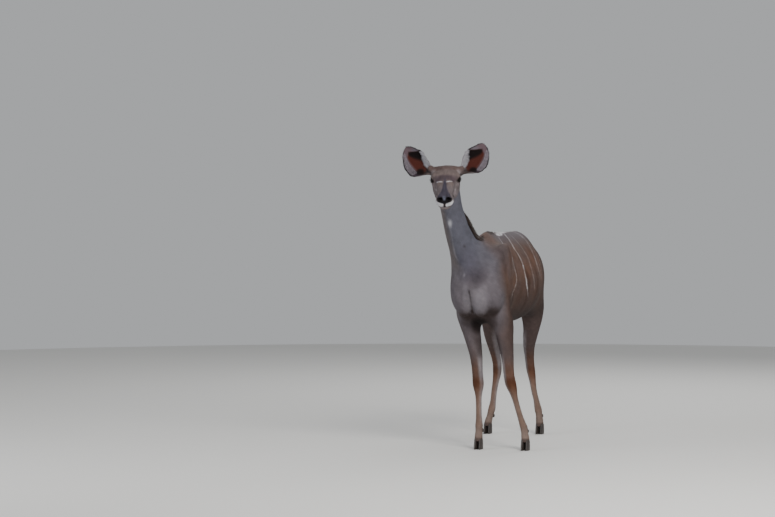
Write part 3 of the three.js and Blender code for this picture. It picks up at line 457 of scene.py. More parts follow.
# %% Furrow, nostrils, eyes and mouth
EYE_AT, EYE_RADIUS = [63, -4, 4], 20.5
EYE_LOOK = [0.82, -0.1, 0.56]
EYE_OPENING = [17.5, 12]      # half length and half height between the lids
NOSTRIL_AT, NOSTRIL_SIZE, NOSTRIL_TURN = [22, -6, 244], [12, 9, 15], [26, -24, 30]
MOUTH_DOWN, MOUTH_DROP, MOUTH_HEART, MOUTH_SWEEP = 37, 4, 188, 112
# points and half width of the furrow
GROOVE = [[-38, -656, 917, 2], [-36, -650, 891, 4], [-35, -635, 862, 5.5], [-34, -620, 832, 6.5],
          [-34, -599, 803, 7.5], [-40, -558, 778, 8]]
GROOVE_LINE = [row[:3] for row in GROOVE]
groove = tube_form(GROOVE, 10)
NOSTRILS = [ellipsoid_form([NOSTRIL_AT, NOSTRIL_SIZE, NOSTRIL_TURN, 6], sign, True)
            for sign in (LEFT, RIGHT)]


def eye_axes(sign):
    """An eye's middle and its directions: the way it looks, lengthwise and up."""
    look = unit(EYE_LOOK * np.array([sign, 1, 1]) @ HEAD_AXES)
    lengthwise = unit(head_along - look * (head_along @ look))
    middle = on_head(EYE_AT[0] * sign, EYE_AT[1], EYE_AT[2])
    return middle, look, lengthwise, np.cross(look, lengthwise) * sign


def mouth_distance(q):
    """Distance from the line between the lips, for points in the head's own directions."""
    turn = np.degrees(np.arctan2(q[:, 0], q[:, 2] - MOUTH_HEART))
    drop = MOUTH_DROP * (1 - np.cos(np.radians(turn)))
    beyond = np.radians(np.maximum(np.abs(turn) - MOUTH_SWEEP, 0)) * 40
    return np.hypot(q[:, 1] - MOUTH_DOWN - drop, beyond)


print("left eye looks", np.round(eye_axes(LEFT)[1], 2))

# %% [markdown]
# A lid is skin drawn over the ball of the eye. So a slightly larger ball is melted onto the
# face, and an almond-shaped opening is cut into it. The mouth gets a fine line that drops a
# little towards its corners, and the lip below the nose a cleft.

# %% The cuts of the face
OUTSIDE = 9


def with_lids(d, p, sign):
    middle, look, lengthwise, upward = eye_axes(sign)
    away = np.linalg.norm(p - middle, axis=1)
    d = melted(d, away - EYE_RADIUS - 2.2, 16)
    a, b, out = ((p - middle) @ way for way in (lengthwise, upward, look))
    reach = np.hypot(a / EYE_OPENING[0], b / (EYE_OPENING[1] * (1 - 0.25 * np.abs(a) / 20)))
    opening = np.maximum((reach - 1) * EYE_OPENING[1], EYE_RADIUS - 1.5 - away)
    return smooth_cut(d, np.where(out > 0, opening, OUTSIDE), 2.5)


def with_face(d, p, q):
    for hollow in NOSTRILS:
        d = smooth_cut(d, hollow["distance"](p), 5)
    d = smooth_cut(d, mouth_distance(q) - 0.6, 5)
    cleft = np.hypot(q[:, 0] / 1.3, np.maximum(np.abs(q[:, 1] - 27) - 10, 0))
    d = smooth_cut(d, np.where(q[:, 2] > 225, cleft - 1.0, OUTSIDE), 4)
    for sign in (LEFT, RIGHT):
        d = with_lids(d, p, sign)
    return d


lips = on_head(0.0, MOUTH_DOWN, 256.0)[None]
print("between the lips the cut leaves",
      round(float(with_face(field(lips), lips, to_head(lips))[0]), 1), "mm")

# %% [markdown]
# The coat needs room. So the skin lies a few millimetres inside the solids' surface, less on
# the face and the feet, where the hair is shortest, and the tips of the hair come back out to
# it.

# %% The field of the whole skin
COAT_DEPTH = 3.2


def skin_field(points):
    near = field(points)
    q = to_head(points)
    thin = np.maximum(ramp(q[:, 2], -120, 20) * (np.abs(q[:, 1]) < 150) * (points[:, 2] > 1300),
                      1 - ramp(points[:, 2], 250, 520))
    near = near + COAT_DEPTH * (1 - 0.6 * thin)
    chest = within(points, groove)
    if len(chest):
        near[chest] = smooth_cut(near[chest], groove["distance"](points[chest]), 9)
    face = np.flatnonzero((q[:, 2] > -40) & (np.abs(q).max(1) < 300))
    if len(face):
        near[face] = with_face(near[face], points[face], q[face])
    return near


def gradient(points, step=0.6):
    corners = np.array([[1, -1, -1], [-1, -1, 1], [-1, 1, -1], [1, 1, 1]], float)
    total = np.zeros_like(points)
    for k in corners:
        total += k * skin_field(points + k * step)[:, None]
    return total / (4 * step)


print("slope of the field over the back", np.round(gradient(np.array([[0, 200, 1240.0]]))[0], 2))

# %% [markdown]
# ## From field to mesh
#
# Metaballs or a remesh of many parts would do this too, with less say over the faces. Here the
# field is sampled on a grid, finely only in the blocks that the surface passes. Each grid cell
# that the surface crosses gets one point, and each crossed edge one four-sided face. Such a
# surface net has even quads all over, like a sculptor's remesh.

# %% Sampling near the surface
CELL = 6.0
BLOCK = 5


def sample_blocks(low, high):
    counts = np.ceil((high - low) / (CELL * BLOCK)).astype(int)
    blocks = np.indices(counts).reshape(3, -1).T
    middle = skin_field(low + (blocks + 0.5) * CELL * BLOCK)
    values = np.repeat(np.repeat(np.repeat(
        np.where(middle > 0, 99.0, -99.0).reshape(counts), BLOCK, 0), BLOCK, 1), BLOCK, 2)
    values = np.pad(values.astype(np.float32), ((0, 1),) * 3, constant_values=99)
    near = blocks[np.abs(middle) < CELL * BLOCK * 1.5]
    local = np.indices((BLOCK + 1,) * 3).reshape(3, -1).T
    where = (near[:, None] * BLOCK + local).reshape(-1, 3)
    flat = np.unique(np.ravel_multi_index(where.T, values.shape))
    where = np.stack(np.unravel_index(flat, values.shape), 1)
    for part in np.array_split(np.arange(len(where)), max(1, len(where) // 200000)):
        i, j, k = where[part].T
        values[i, j, k] = skin_field(low + where[part] * CELL)
    return values


low = np.array([-400.0, -1100, 30])
high = np.array([330.0, 760, 1720])
samples = sample_blocks(low, high)
print("grid", samples.shape)

# %% Surface net
def surface_net(values, low):
    inside = values < 0
    corners = [(i, j, k) for i in (0, 1) for j in (0, 1) for k in (0, 1)]
    n = np.array(values.shape) - 1
    count = sum(inside[i:n[0] + i, j:n[1] + j, k:n[2] + k].astype(np.int8)
                for i, j, k in corners)
    cells = np.argwhere((count > 0) & (count < 8))
    number = np.full(tuple(n), -1, np.int32)
    number[tuple(cells.T)] = np.arange(len(cells))
    total, hits = np.zeros((len(cells), 3)), np.zeros(len(cells))
    for a in corners:
        for axis in range(3):
            if a[axis]:
                continue
            b = np.array(a)
            b[axis] = 1
            va = values[tuple((cells + a).T)].astype(float)
            vb = values[tuple((cells + b).T)].astype(float)
            cross = (va < 0) != (vb < 0)
            t = np.where(cross, va / np.where(cross, va - vb, 1), 0)
            total += np.where(cross[:, None], np.array(a) + t[:, None] * (b - a), 0)
            hits += cross
    points = low + (cells + total / hits[:, None]) * CELL
    quads = []
    for axis in range(3):
        u, v = (axis + 1) % 3, (axis + 2) % 3
        below = inside.take(range(0, n[axis]), axis)
        above = inside.take(range(1, n[axis] + 1), axis)
        edges = np.argwhere(below != above)
        edges = edges[(edges[:, u] > 0) & (edges[:, v] > 0)
                      & (edges[:, u] < n[u]) & (edges[:, v] < n[v])]
        out = below[tuple(edges.T)]
        around = []
        for du, dv in ((1, 1), (0, 1), (0, 0), (1, 0)):
            cell = edges.copy()
            cell[:, u] -= du
            cell[:, v] -= dv
            around.append(number[tuple(cell.T)])
        quad = np.stack(around, 1)
        quads.append(np.where(out[:, None], quad, quad[:, ::-1]))
    return points, np.concatenate(quads).astype(np.int64)


skin_points, skin_quads = surface_net(samples, low)
print("skin", len(skin_points), "points", len(skin_quads), "faces")

# %% [markdown]
# The net's points lie near the surface, not on it, which shows as fine steps. So they move along
# the slope of the field until it is zero.

# %% Settling on the surface
def settle(points, rounds=3):
    for turn in range(rounds):
        slope = gradient(points)
        size = np.maximum((slope ** 2).sum(1), 0.2)
        step = np.clip(skin_field(points) / size, -3, 3)
        points = points - slope * step[:, None]
    return points


skin_points = settle(skin_points)
print("farthest point off by", round(float(np.abs(skin_field(skin_points[::50])).max()), 2), "mm")

# %% [markdown]
# The face needs finer skin than the flank, but a finer grid everywhere would be far too heavy.
# So faces on the head are split in four, twice round the eyes and the muzzle, and the new points
# settle on the field again. Lids and nostrils come out sharp.

# %% Finer skin on the head
def split_faces(points, quads, chosen, others):
    """Splits the chosen quads in four; a neighbour takes the new edge points as corners."""
    total = len(points)
    ends = np.stack([quads, np.roll(quads, -1, 1)], -1)
    keys = np.minimum(ends[..., 0], ends[..., 1]) * total + np.maximum(ends[..., 0], ends[..., 1])
    cut = np.unique(keys[chosen])
    middles = (points[cut // total] + points[cut % total]) / 2
    place = np.searchsorted(cut, keys)
    place = np.where((place < len(cut)) & (cut[np.minimum(place, len(cut) - 1)] == keys),
                     place + total, -1)
    centres = points[quads[chosen]].mean(1)
    centre = total + len(cut) + np.arange(len(centres))
    corner, edge = quads[chosen], place[chosen]
    fine = [np.stack([corner[:, k], edge[:, k], centre, edge[:, k - 1]], 1) for k in range(4)]
    rest = ~chosen
    border = rest & (place >= 0).any(1)
    for quad, mids in zip(quads[border], place[border]):
        ring = []
        for a, m in zip(quad, mids):
            ring += [int(a)] + ([int(m)] if m >= 0 else [])
        others.append(ring)
    points = np.concatenate([points, middles, centres])
    return points, np.concatenate([quads[rest & ~border], *fine]), others


def head_zone(points, quads, reach):
    """True for faces on the head, or close to the eyes and the muzzle if reach is small."""
    q = to_head(points[quads].mean(1))
    on = (q[:, 2] > -150) & (q[:, 2] < 300) & (np.abs(q[:, 0]) < 110) & (np.abs(q[:, 1]) < 130)
    if reach > 1:
        return on
    eyes = np.linalg.norm(np.abs(q) * [1, 0, 0] + q * [0, 1, 1] - EYE_AT, axis=1) < 36
    return on & (eyes | (q[:, 2] > 195))


skin_others = []
for reach in (2, 1):
    chosen = head_zone(skin_points, skin_quads, reach)
    skin_points, skin_quads, skin_others = split_faces(
        skin_points, skin_quads, chosen, skin_others)
face = np.flatnonzero((to_head(skin_points)[:, 2] > -170) & (skin_points[:, 2] > 1300))
skin_points[face] = settle(skin_points[face])
print("skin", len(skin_points), "points after splitting the head's faces")

# %% [markdown]
# ## The camera
#
# The photo was taken from about twenty metres with a long lens, a little above the animal's
# withers and 12.5 degrees to its left. The camera stands there. The picture's own shape and
# the size of a pixel give the lens, and the feet's place in the picture gives the aim. With the
# real place of the camera the legs and the head foreshorten as they do in the photo.
#
# From here on a point in millimetres goes into the frame's metres by one shift, found from the
# left eye, which the frame knows as well.

# %% Camera
eye_middle = np.mean(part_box("eye_left"), axis=0)
TO_FRAME = eye_middle - on_head(*EYE_AT) / 1000      # body coordinates to the frame's, metres
FLOOR = float(cad_box[0][2])
PHOTO_WIDTH, PHOTO_HEIGHT, PIXELS_PER_RADIAN = 775, 517, 3500
FEET_PIXEL, HORIZON_PIXEL = 501.8, 116.5


def frame_point(p):
    return np.asarray(p, float) / 1000 + TO_FRAME


def look_at(obj, direction):
    back = -unit(direction)
    right = unit(np.cross(Z_AXIS, back))
    matrix = np.eye(4)
    matrix[:3, :3] = np.stack([right, np.cross(back, right), back], 1)
    matrix[:3, 3] = obj.location
    obj.matrix_world = Matrix(matrix.tolist())


CAMERA_DISTANCE, CAMERA_HEIGHT, CAMERA_ROUND = 20, 1.9, 12.5
SENSOR = 36
around = math.radians(CAMERA_ROUND)
away = np.array([-math.sin(around), math.cos(around), 0])
across = np.array([math.cos(around), math.sin(around), 0])
aim = math.atan((FEET_PIXEL - PHOTO_WIDTH / 2) / PIXELS_PER_RADIAN)
dip = math.atan((PHOTO_HEIGHT / 2 - HORIZON_PIXEL) / PIXELS_PER_RADIAN)
level = away * math.cos(aim) - across * math.sin(aim)
lens = bpy.data.cameras.new("photo_camera")
lens.sensor_width = SENSOR
lens.lens = PIXELS_PER_RADIAN * SENSOR / PHOTO_WIDTH
lens.clip_end = 200
camera = bpy.data.objects.new("photo_camera", lens)
bpy.context.scene.collection.objects.link(camera)
camera.location = (frame_point([95, -400, 0]) - CAMERA_DISTANCE * away
                   + CAMERA_HEIGHT * Z_AXIS)
look_at(camera, level * math.cos(dip) - Z_AXIS * math.sin(dip))
bpy.context.scene.camera = camera
print("camera at", [round(float(v), 3) for v in camera.location])

# %% [markdown]
# ## Floor and light
#
# As in a museum hall there is a wide pale floor, and soft light from large lamps. Large lamps
# have soft-edged shadows, so the hair shows its grain without hard glints. The key light stands
# high in front, a weak cool one fills the other side, and one from behind parts the back from
# the background.

# %% Floor
FLOOR_RADIUS, FLOOR_SIDES, FLOOR_GAP = 9, 64, 0.001


def mesh_object(name, points, faces):
    mesh = bpy.data.meshes.new(name)
    mesh.from_pydata([tuple(p) for p in points], [], [tuple(f) for f in faces])
    mesh.update()
    mesh.shade_smooth()
    obj = bpy.data.objects.new(name, mesh)
    bpy.context.scene.collection.objects.link(obj)
    return obj


def floor_ring(j):
    return [j * FLOOR_SIDES + k for k in range(FLOOR_SIDES)]


turns = np.linspace(0, 2 * math.pi, FLOOR_SIDES + 1)[:-1]
floor_points = [(r * math.cos(a), r * math.sin(a), FLOOR - FLOOR_GAP)
                for r in range(1, FLOOR_RADIUS + 1) for a in turns]
floor_points.append((0, 0, FLOOR - FLOOR_GAP))
floor_faces = []
for j in range(FLOOR_RADIUS - 1):
    near, far = floor_ring(j), floor_ring(j + 1)
    floor_faces += zip(near, near[1:] + near[:1], far[1:] + far[:1], far)
near = floor_ring(0)
floor_faces += [(b, a, len(floor_points) - 1) for a, b in zip(near, near[1:] + near[:1])]
floor = mesh_object("floor", floor_points, floor_faces)
print("floor of", len(floor_faces), "faces")


# %% Light
def softbox(name, place, target, size, power, colour=(1, 1, 1)):
    lamp = bpy.data.lights.new(name, "AREA")
    lamp.shape, lamp.size, lamp.size_y = "RECTANGLE", size[0], size[1]
    lamp.energy, lamp.color = power, colour
    obj = bpy.data.objects.new(name, lamp)
    bpy.context.scene.collection.objects.link(obj)
    obj.location = place
    look_at(obj, np.subtract(target, place))


softbox("key", (3.4, -4.6, 4.4), (0, 0, 0.9), (2.6, 2.6), 380, (1, 0.98, 0.95))
softbox("fill", (-4.6, -3.6, 2.6), (0, 0, 0.9), (3.6, 3.0), 130, (0.95, 0.97, 1))
softbox("rim", (0.5, 5.2, 4.2), (0, 0, 1.0), (4.0, 2.4), 150)
world = bpy.data.worlds.new("studio")
bpy.context.scene.world = world
world.use_nodes = True
sky = world.node_tree.nodes["Background"]
sky.inputs["Color"].default_value = (0.86, 0.88, 0.9, 1)
sky.inputs["Strength"].default_value = 0.5
print("3 lamps and a pale sky")

# %% [markdown]
# ## Ears
#
# An ear is a rolled leaf: nearly a tube at the root, where it runs into the head, and an open
# cup further out. In the field its thin gristle would need a very fine grid. So it is made as
# two sheets, back and inside, closed along the rim, and both are joined to the skin's arrays.
# A point on an ear has a place from root to tip and one across, which the painter and the hair
# use again.

# %% A point on an ear
ear_profile = smooth_rows(EAR_ROWS)


def ear_point(sign, s, t, depth):
    """A point on the ear: s from root to tip, t across from -1 to 1, depth into the leaf."""
    root, along, face, across = ear_frame(sign)
    s, t = np.broadcast_arrays(np.asarray(s, float), np.asarray(t, float))
    outer, inner, roll = np.moveaxis(ear_profile(s), -1, 0)
    half = np.where(t * sign > 0, outer * EAR_SPREAD[sign], inner)
    roll = np.radians(roll)
    radius = np.where(roll > math.pi / 2, half, half / np.sin(roll))
    angle = roll * t
    edge = np.maximum(np.abs(t) - 0.8, 0) / 0.2
    wave = edge * (1.6 * np.sin(s * 23 + t) + 1.1 * np.sin(s * 51))
    r = radius - np.minimum(depth, radius * 0.6) + wave
    return (root + along * (EAR_LENGTH * s)[..., None] + across * (r * np.sin(angle))[..., None]
            + face * (radius - r * np.cos(angle))[..., None])


def ear_thickness(s, t):
    return 4.2 * (1 - 0.5 * s) * (1 - 0.75 * t ** 2)


print("tip of the left ear", ear_point(LEFT, 1, 0, 0).round().tolist())


# %% The ears' sheets
BODY, EAR_OUTSIDE, EAR_INSIDE = 0, 1, 2


def ear_sheets(sign, rows=54, columns=31):
    s = np.linspace(0.02, 1, rows)[:, None]
    t = np.linspace(-1, 1, columns)[None]
    thick = ear_thickness(s, t)
    back = ear_point(sign, s, t, np.full(thick.shape, 0.6))
    inside = ear_point(sign, s, t, 0.6 + thick)
    points = np.concatenate([back.reshape(-1, 3), inside.reshape(-1, 3)])
    number = np.arange(rows * columns).reshape(rows, columns)
    a, b = number[:-1, :-1].ravel(), number[:-1, 1:].ravel()
    c, d = number[1:, 1:].ravel(), number[1:, :-1].ravel()
    more = rows * columns
    quads = [np.stack([d, c, b, a], 1), np.stack([a, b, c, d], 1) + more]
    ring = np.concatenate([number[0], number[1:, -1], number[-1, -2::-1], number[-2:0:-1, 0]])
    after = np.roll(ring, -1)
    quads.append(np.stack([ring, after, after + more, ring + more], 1))
    place = np.stack([np.broadcast_to(s, thick.shape), np.broadcast_to(t, thick.shape)], -1)
    place = np.concatenate([place.reshape(-1, 2)] * 2)
    sheet = np.repeat([EAR_OUTSIDE, EAR_INSIDE], rows * columns)
    return points, np.concatenate(quads), place, sheet


zone = np.full(len(skin_points), BODY)
ear_place = np.zeros((len(skin_points), 2))
ear_sign = np.zeros(len(skin_points), int)
for sign in (LEFT, RIGHT):
    points, quads, place, kind = ear_sheets(sign)
    quads = quads + len(skin_points)
    skin_points = np.concatenate([skin_points, points])
    skin_quads = np.concatenate([skin_quads, quads])
    zone = np.concatenate([zone, kind])
    ear_place = np.concatenate([ear_place, place])
    ear_sign = np.concatenate([ear_sign, np.full(len(points), sign)])
print("skin with ears", len(skin_points), "points")

# %% [markdown]
# ## Markings
#
# A kudu cow has a grey neck, a brown flank with rusty clouds, white stripes that hang from the
# spine, a white bar between the eyes, white lips and pale insides of the legs. They could be
# brushed onto an image. Here they are worked out from the place of a point on the body, so the
# skin and every tuft of hair above it ask the same function and agree, however fine the mesh is.
#
# Colours are written as they look, from 0 to 255, and turned into light values at the end.

# %% The palette
GREY, NECK_GREY = (97, 91, 96), (87, 87, 97)
FLANK, RUST, RUMP = (93, 76, 70), (98, 66, 50), (74, 61, 57)
# the belly's colour is painted shade for the skin that faces down
BELLY_SHADE, PALE, WHITE = (60, 50, 49), (158, 155, 160), (206, 206, 210)
DARK, MANE_COLOUR = (42, 32, 31), (44, 32, 28)
TAIL_BROWN = (92, 73, 64)
LEG, CANNON, KNEE = (84, 71, 69), (118, 102, 94), (74, 40, 23)
FOREHEAD, CHEEK, NOSE, NOSE_TIP = (102, 90, 88), (102, 93, 94), (62, 58, 68), (22, 21, 25)
EAR_BACK, EAR_RIM, EAR_EDGE = (98, 84, 80), (30, 24, 24), (92, 85, 92)
# the last two ear colours are painted shade in the depth of the cup and at its root
EAR_RED, EAR_DEPTH_SHADE, EAR_POCKET_SHADE = (64, 30, 24), (14, 7, 7), (10, 6, 6)
print("grey", GREY, "flank", FLANK, "rust", RUST)

# %% The way of the white stripes
# strength, half width, and places down the side as [angle from the spine, y]
STRIPES = [
    [0.85, 4.0, [[4, -178], [20, -222], [36, -270], [50, -296], [67, -250], [84, -240], [102, -266],
                 [114, -312], [130, -340]]],
    [1.0, 5.0, [[2, 12], [14, -20], [24, -46], [40, -44], [60, -62], [78, -79], [95, -79],
                [110, -54], [124, -22]]],
    [0.5, 3.0, [[8, 96], [27, 84], [44, 76], [66, 50], [87, 32], [104, 44], [114, 62]]],
    [0.85, 3.8, [[2, 262], [12, 284], [22, 274], [32, 244], [50, 200], [70, 166], [92, 158]]],
    [0.55, 3.2, [[28, 338], [45, 306], [61, 268], [78, 232], [98, 214]]],
    [0.5, 3.0, [[6, 408], [30, 404], [52, 388], [74, 352], [92, 322]]],
    [0.4, 2.8, [[6, 500], [34, 494], [60, 474], [76, 450]]],
]
print(len(STRIPES), "stripes on each side")

# %% [markdown]
# A marking has three simple shapes: a cloud made of a few waves, a spot with a soft edge, and a
# band along a line. Mixing one colour over another by such a shape is all that the painter does.

# %% Clouds, spots and bands
def noise(points, size, seed):
    """A smooth, seeded pattern between about -1 and 1."""
    rng = np.random.default_rng(seed)
    total = 0
    for _ in range(9):
        way = unit(rng.normal(size=3))
        total = total + np.sin(points @ way * (2 * math.pi / size) * rng.uniform(0.6, 1.7)
                               + rng.uniform(0, 6.3))
    return total / 4.2


def spot(q, middle, reach, soft=0.4):
    r = np.linalg.norm((q - middle) / reach, axis=1)
    return 1 - ramp(r, 1 - soft, 1 + soft)


def band(q, path, half, soft=2.0):
    """1 within half of a line through the points of path, fading over soft."""
    near = np.full(len(q), 999.0)
    for a, b in zip(np.array(path[:-1], float), np.array(path[1:], float)):
        t = np.clip((q - a) @ (b - a) / ((b - a) @ (b - a)), 0, 1)
        near = np.minimum(near, np.linalg.norm(q - a - t[:, None] * (b - a), axis=1))
    return 1 - ramp(near, half - soft / 2, half + soft)


def mix(colour, other, weight):
    return colour + (np.array(other, float) - colour) * np.clip(weight, 0, 1)[:, None]


def both_sides(points):
    """The points with those of the right side brought over to the left."""
    return np.abs(points * X_AXIS) + points * [0, 1, 1]


def tell(what, colours):
    print(what, "is", [round(value) for value in colours[0].tolist()])


# a point and a plain grey to try the painters on
WITHERS, PLAIN = np.array([[0, -200, 1240.0]]), np.array([GREY], float)
print("cloud at the withers", round(float(noise(WITHERS, 230, 1)[0]), 2))

# %% [markdown]
# Stripes hang like threads from the spine: thin, a little wavy, broken here and there, and not
# quite the same on both sides. Each is a curve of place against the angle from the spine.

# %% Stripes
def stripes(p):
    """Strength of the white stripes, the same on both sides but for small differences."""
    angle = np.degrees(np.arctan2(np.abs(p[:, 0]), p[:, 2] - 950))
    side = np.where(p[:, 0] > 0, 0, 1)
    total = np.zeros(len(p))
    for k, (strength, half, way) in enumerate(STRIPES):
        curve = smooth_rows(way)
        shift = side * (9 * math.sin(2.1 * k) + 7 * np.sin(angle / 17 + k))
        off = np.abs(p[:, 1] - curve(angle)[:, 0] - shift - 2.5 * noise(p, 90, 40 + k))
        shown = ramp(angle, way[0][0] - 3, way[0][0] + 4) * (
            1 - ramp(angle, way[-1][0] - 14, way[-1][0]))
        broken = 0.8 + 0.28 * noise(p, 60, 50 + k)
        total = np.maximum(total, (1 - ramp(off, half - 1.6, half + 2)) * strength * shown
                           * np.clip(broken, 0.3, 1))
    return total


on_stripe = np.array([[199, -62, 1065.0]])
print("a stripe on the flank covers", round(float(stripes(on_stripe)[0]), 2), "of the brown")

# %% [markdown]
# Some colours belong to a part and not to a place: the neck is grey, the legs are brown. The
# nearest form decides which part a point is in, with a soft change from one to the next.

# %% Parts of the body
LEG_NAMES = list(LEG_LINES)
TRUNK_PART, NECK_PART, HEAD_PART, TAIL_PART, FIRST_LEG = range(5)
REGIONS = [trunk, neck, skull, tail, *(legs[name] for name in LEG_NAMES)]


def region_weights(p, soft=22.0):
    """How much each point belongs to trunk, neck, head, tail and the four legs."""
    d = np.stack([form["distance"](p) for form in REGIONS], 1)
    d[:, 4:] += np.maximum(p[:, 2:3] - 700, 0) * 0.8
    d = np.clip(d - d.min(1, keepdims=True), 0, 400)
    w = np.exp(-d / soft)
    return w / w.sum(1, keepdims=True)


print("parts", len(REGIONS))

# %% [markdown]
# The trunk: a grey shoulder, then a brown flank with rusty clouds and dark bands, a greyer back,
# and painted shade under the belly. The chest has paler lobes with painted shade along the furrow
# between them, and the hollows below the neck, between the forelegs and behind the elbow are
# painted with shade.

# %% Colours of the trunk
def trunk_colour(p, n, cloud):
    upright = noise(p * [0.3, 1, 0.35], 110, 3)
    c = np.tile(np.array(GREY, float), (len(p), 1))
    behind = (p[:, 1] + 1.3 * np.abs(p[:, 0] + 20) + 0.9 * np.maximum(p[:, 2] - 1080, 0)
              - 110 * (1 - ramp(p[:, 2], 800, 980)) + 18 * cloud)
    flank = ramp(behind, -440, -250)
    c = mix(c, FLANK, flank * 0.95)
    low = ramp(900 - p[:, 2], -150, 170)
    c = mix(c, RUST, ramp(behind, -420, -250) * (0.38 + 0.3 * cloud + 0.25 * upright)
            * (1 - 0.45 * low) * (1 - 0.45 * ramp(p[:, 1], 330, 480))
            * (1 - 0.8 * ramp(p[:, 2], 1080, 1180)))
    c = mix(c, RUMP, ramp(p[:, 1], 300, 480) * 0.8)
    c = mix(c, (58, 42, 38), flank * ramp(upright, 0.1, 1.1) * 0.5
            * (1 - ramp(p[:, 2], 1120, 1200)))
    c = mix(c, (84, 79, 87), ramp(p[:, 2], 1130, 1215) * 0.75 * ramp(p[:, 1], -400, -200))
    c = mix(c, (58, 49, 47), flank * low * 0.55)
    # painted shade: the underside of the belly is darkened where the skin faces down
    c = mix(c, BELLY_SHADE, ramp(-n[:, 2], 0.35, 0.9) * (p[:, 2] < 900))
    c = mix(c, (136, 132, 138), spot(p, [12, -636, 856], [50, 60, 96], 0.7) * 0.5)
    c = mix(c, (132, 128, 134), spot(p, [-58, -636, 860], [18, 50, 100], 0.6) * 0.45)
    # painted shade in the hollow between the forelegs
    c = mix(c, (24, 18, 18), spot(p, [-24, -470, 704], [46, 110, 50], 0.4) * 0.9)
    # painted shade in the hollow behind each elbow
    c = mix(c, (40, 34, 34), spot(both_sides(p), [195, -330, 805], [70, 66, 80], 0.8) * 0.65)
    # painted shade in the hollow below the neck
    c = mix(c, (54, 48, 54), spot(p, [0, -640, 1015], [52, 70, 66], 0.8) * 0.7)
    # painted shade along the furrow between the lobes of the chest
    return mix(c, (30, 23, 24), band(p, GROOVE_LINE, 2.5, 6) * 0.75)


tell("the back", trunk_colour(WITHERS, Z_AXIS[None], np.zeros(1)))

# %% [markdown]
# The neck: blue-grey, browner along the nape and on the right, with a white patch on the throat
# and a thin pale line from it down to the chest. The spine has a white line, widest behind the
# withers, and most of the stripes start beside it.

# %% Colours of the neck and the spine
THROAT_LINE = [[-150, -690, 1330], [-147, -687, 1304], [-134, -664, 1200], [-123, -641, 1116],
               [-98, -640, 1060], [-65, -640, 1003]]


def neck_colour(c, p, n, w):
    neckness = w[:, NECK_PART] * ramp(p[:, 2], 930, 1080)
    c = mix(c, NECK_GREY, neckness)
    c = mix(c, (76, 73, 84), spot(p, [-62, -625, 1075], [60, 70, 88], 0.7) * 0.55)
    c = mix(c, (84, 74, 74), neckness * ramp(n @ np.array([0, 0.75, 0.5]), 0.2, 0.9) * 0.6)
    c = mix(c, (108, 98, 95), neckness * ramp(-n[:, 0], 0, 0.8) * 0.7)
    c = mix(c, PALE, band(p, THROAT_LINE, 3, 8) * (0.45 - 0.25 * ramp(p[:, 2], 1120, 1200)))
    c = mix(c, WHITE, spot(p, [-141, -687, 1302], [10, 20, 18], 0.8) * 0.6)
    return mix(c, DARK, spot(p, [-71, -639, 1170], [6, 20, 6]) * 0.5)


def spine_colour(c, p, w, fine):
    patch = 12 * ramp(p[:, 1], -210, -150) * (1 - ramp(p[:, 1], -80, -10))
    spine = (1 - ramp(np.abs(p[:, 0]) - patch, 6, 13)) * ramp(p[:, 2], 1120, 1150)
    c = mix(c, WHITE, spine * ramp(p[:, 1], -220, -160) * (1 - 0.65 * ramp(p[:, 1], 30, 150))
            * (0.75 + 0.2 * fine) * w[:, TRUNK_PART])
    return mix(c, WHITE, stripes(p) * 0.9 * (1 - w[:, NECK_PART]) * (1 - w[:, TAIL_PART]))


throat = np.array(THROAT_LINE[1:2], float)
tell("the throat", neck_colour(PLAIN, throat, -Y_AXIS[None], region_weights(throat)))
tell("the spine", spine_colour(PLAIN, WITHERS, region_weights(WITHERS), np.zeros(1)))

# %% [markdown]
# The legs: grey above, tan below, pale inside, rusty at the knee and the hock, dark behind the
# fetlock and above the hoof, with painted shade high on the inner side of the forelegs.

# %% Colours of the legs
def leg_colour(c, p, n, w):
    leg = w[:, FIRST_LEG:].sum(1) * (1 - ramp(p[:, 2], 640, 800))
    side = np.where(p[:, 0] > -10, 1, -1)
    inner = ramp(-n[:, 0] * side, 0.05, 0.75)
    hind = p[:, 1] > 100
    c = mix(c, LEG, leg * (0.35 + 0.65 * np.where(hind, 1, 1 - ramp(p[:, 2], 480, 640))))
    c = mix(c, CANNON, leg * (1 - ramp(p[:, 2], 240, 400)))
    c = mix(c, PALE, leg * inner * 0.6 * ramp(p[:, 2], 120, 200) * (1 - ramp(p[:, 2], 560, 680)))
    knee = np.where(hind, 368, 375)
    c = mix(c, RUST, leg * (1 - ramp(np.abs(p[:, 2] - 395), 40, 150)) * (1 - inner) * 0.6)
    c = mix(c, KNEE, leg * spot(np.abs(p[:, 2:] - knee[:, None]), [0], [30], 0.7) * 0.7
            * (1 - 0.6 * inner) * np.where(hind, 0.6, 1))
    front = ramp(-n[:, 1], 0.1, 0.8) * ramp(p[:, 2], 90, 160)
    c = mix(c, (112, 84, 70), leg * front * (1 - ramp(p[:, 2], 330, 400)) * 0.4)
    c = mix(c, DARK, leg * spot(np.abs(p[:, 2:] - 126), [0], [26], 0.5)
            * ramp(n[:, 1], -0.2, 0.7) * 0.8)
    c = mix(c, DARK, leg * (1 - ramp(p[:, 2], 60, 74)) * 0.5)
    # painted shade high on the inner side of the forelegs, below the chest
    return mix(c, DARK, leg * spot(np.abs(p[:, 2:] - 590), [0], [60], 0.6) * inner * 0.6 * ~hind)


knee = np.array([[149, -440, 376.0]])
tell("a knee", leg_colour(PLAIN, knee, -Y_AXIS[None], region_weights(knee)))

# %% [markdown]
# The head: a brown forehead, a dark band over the brow that runs down the nose and widens, a
# white bar in two halves between the eyes, white upper lips, and a black pad round the nostrils
# with a bluish ridge between them. Dark skin with painted shade from the brow rings the eyes, and
# painted shade lies in the creases between the muzzle and the cheeks. Places are given by the
# head's own directions, and mirrored where both halves are alike.

# %% Colours of the face
BROW_BARS = [[-46, -16, 66], [-16, -35, 92]], [[9, -36, 95], [36, -23, 74]]


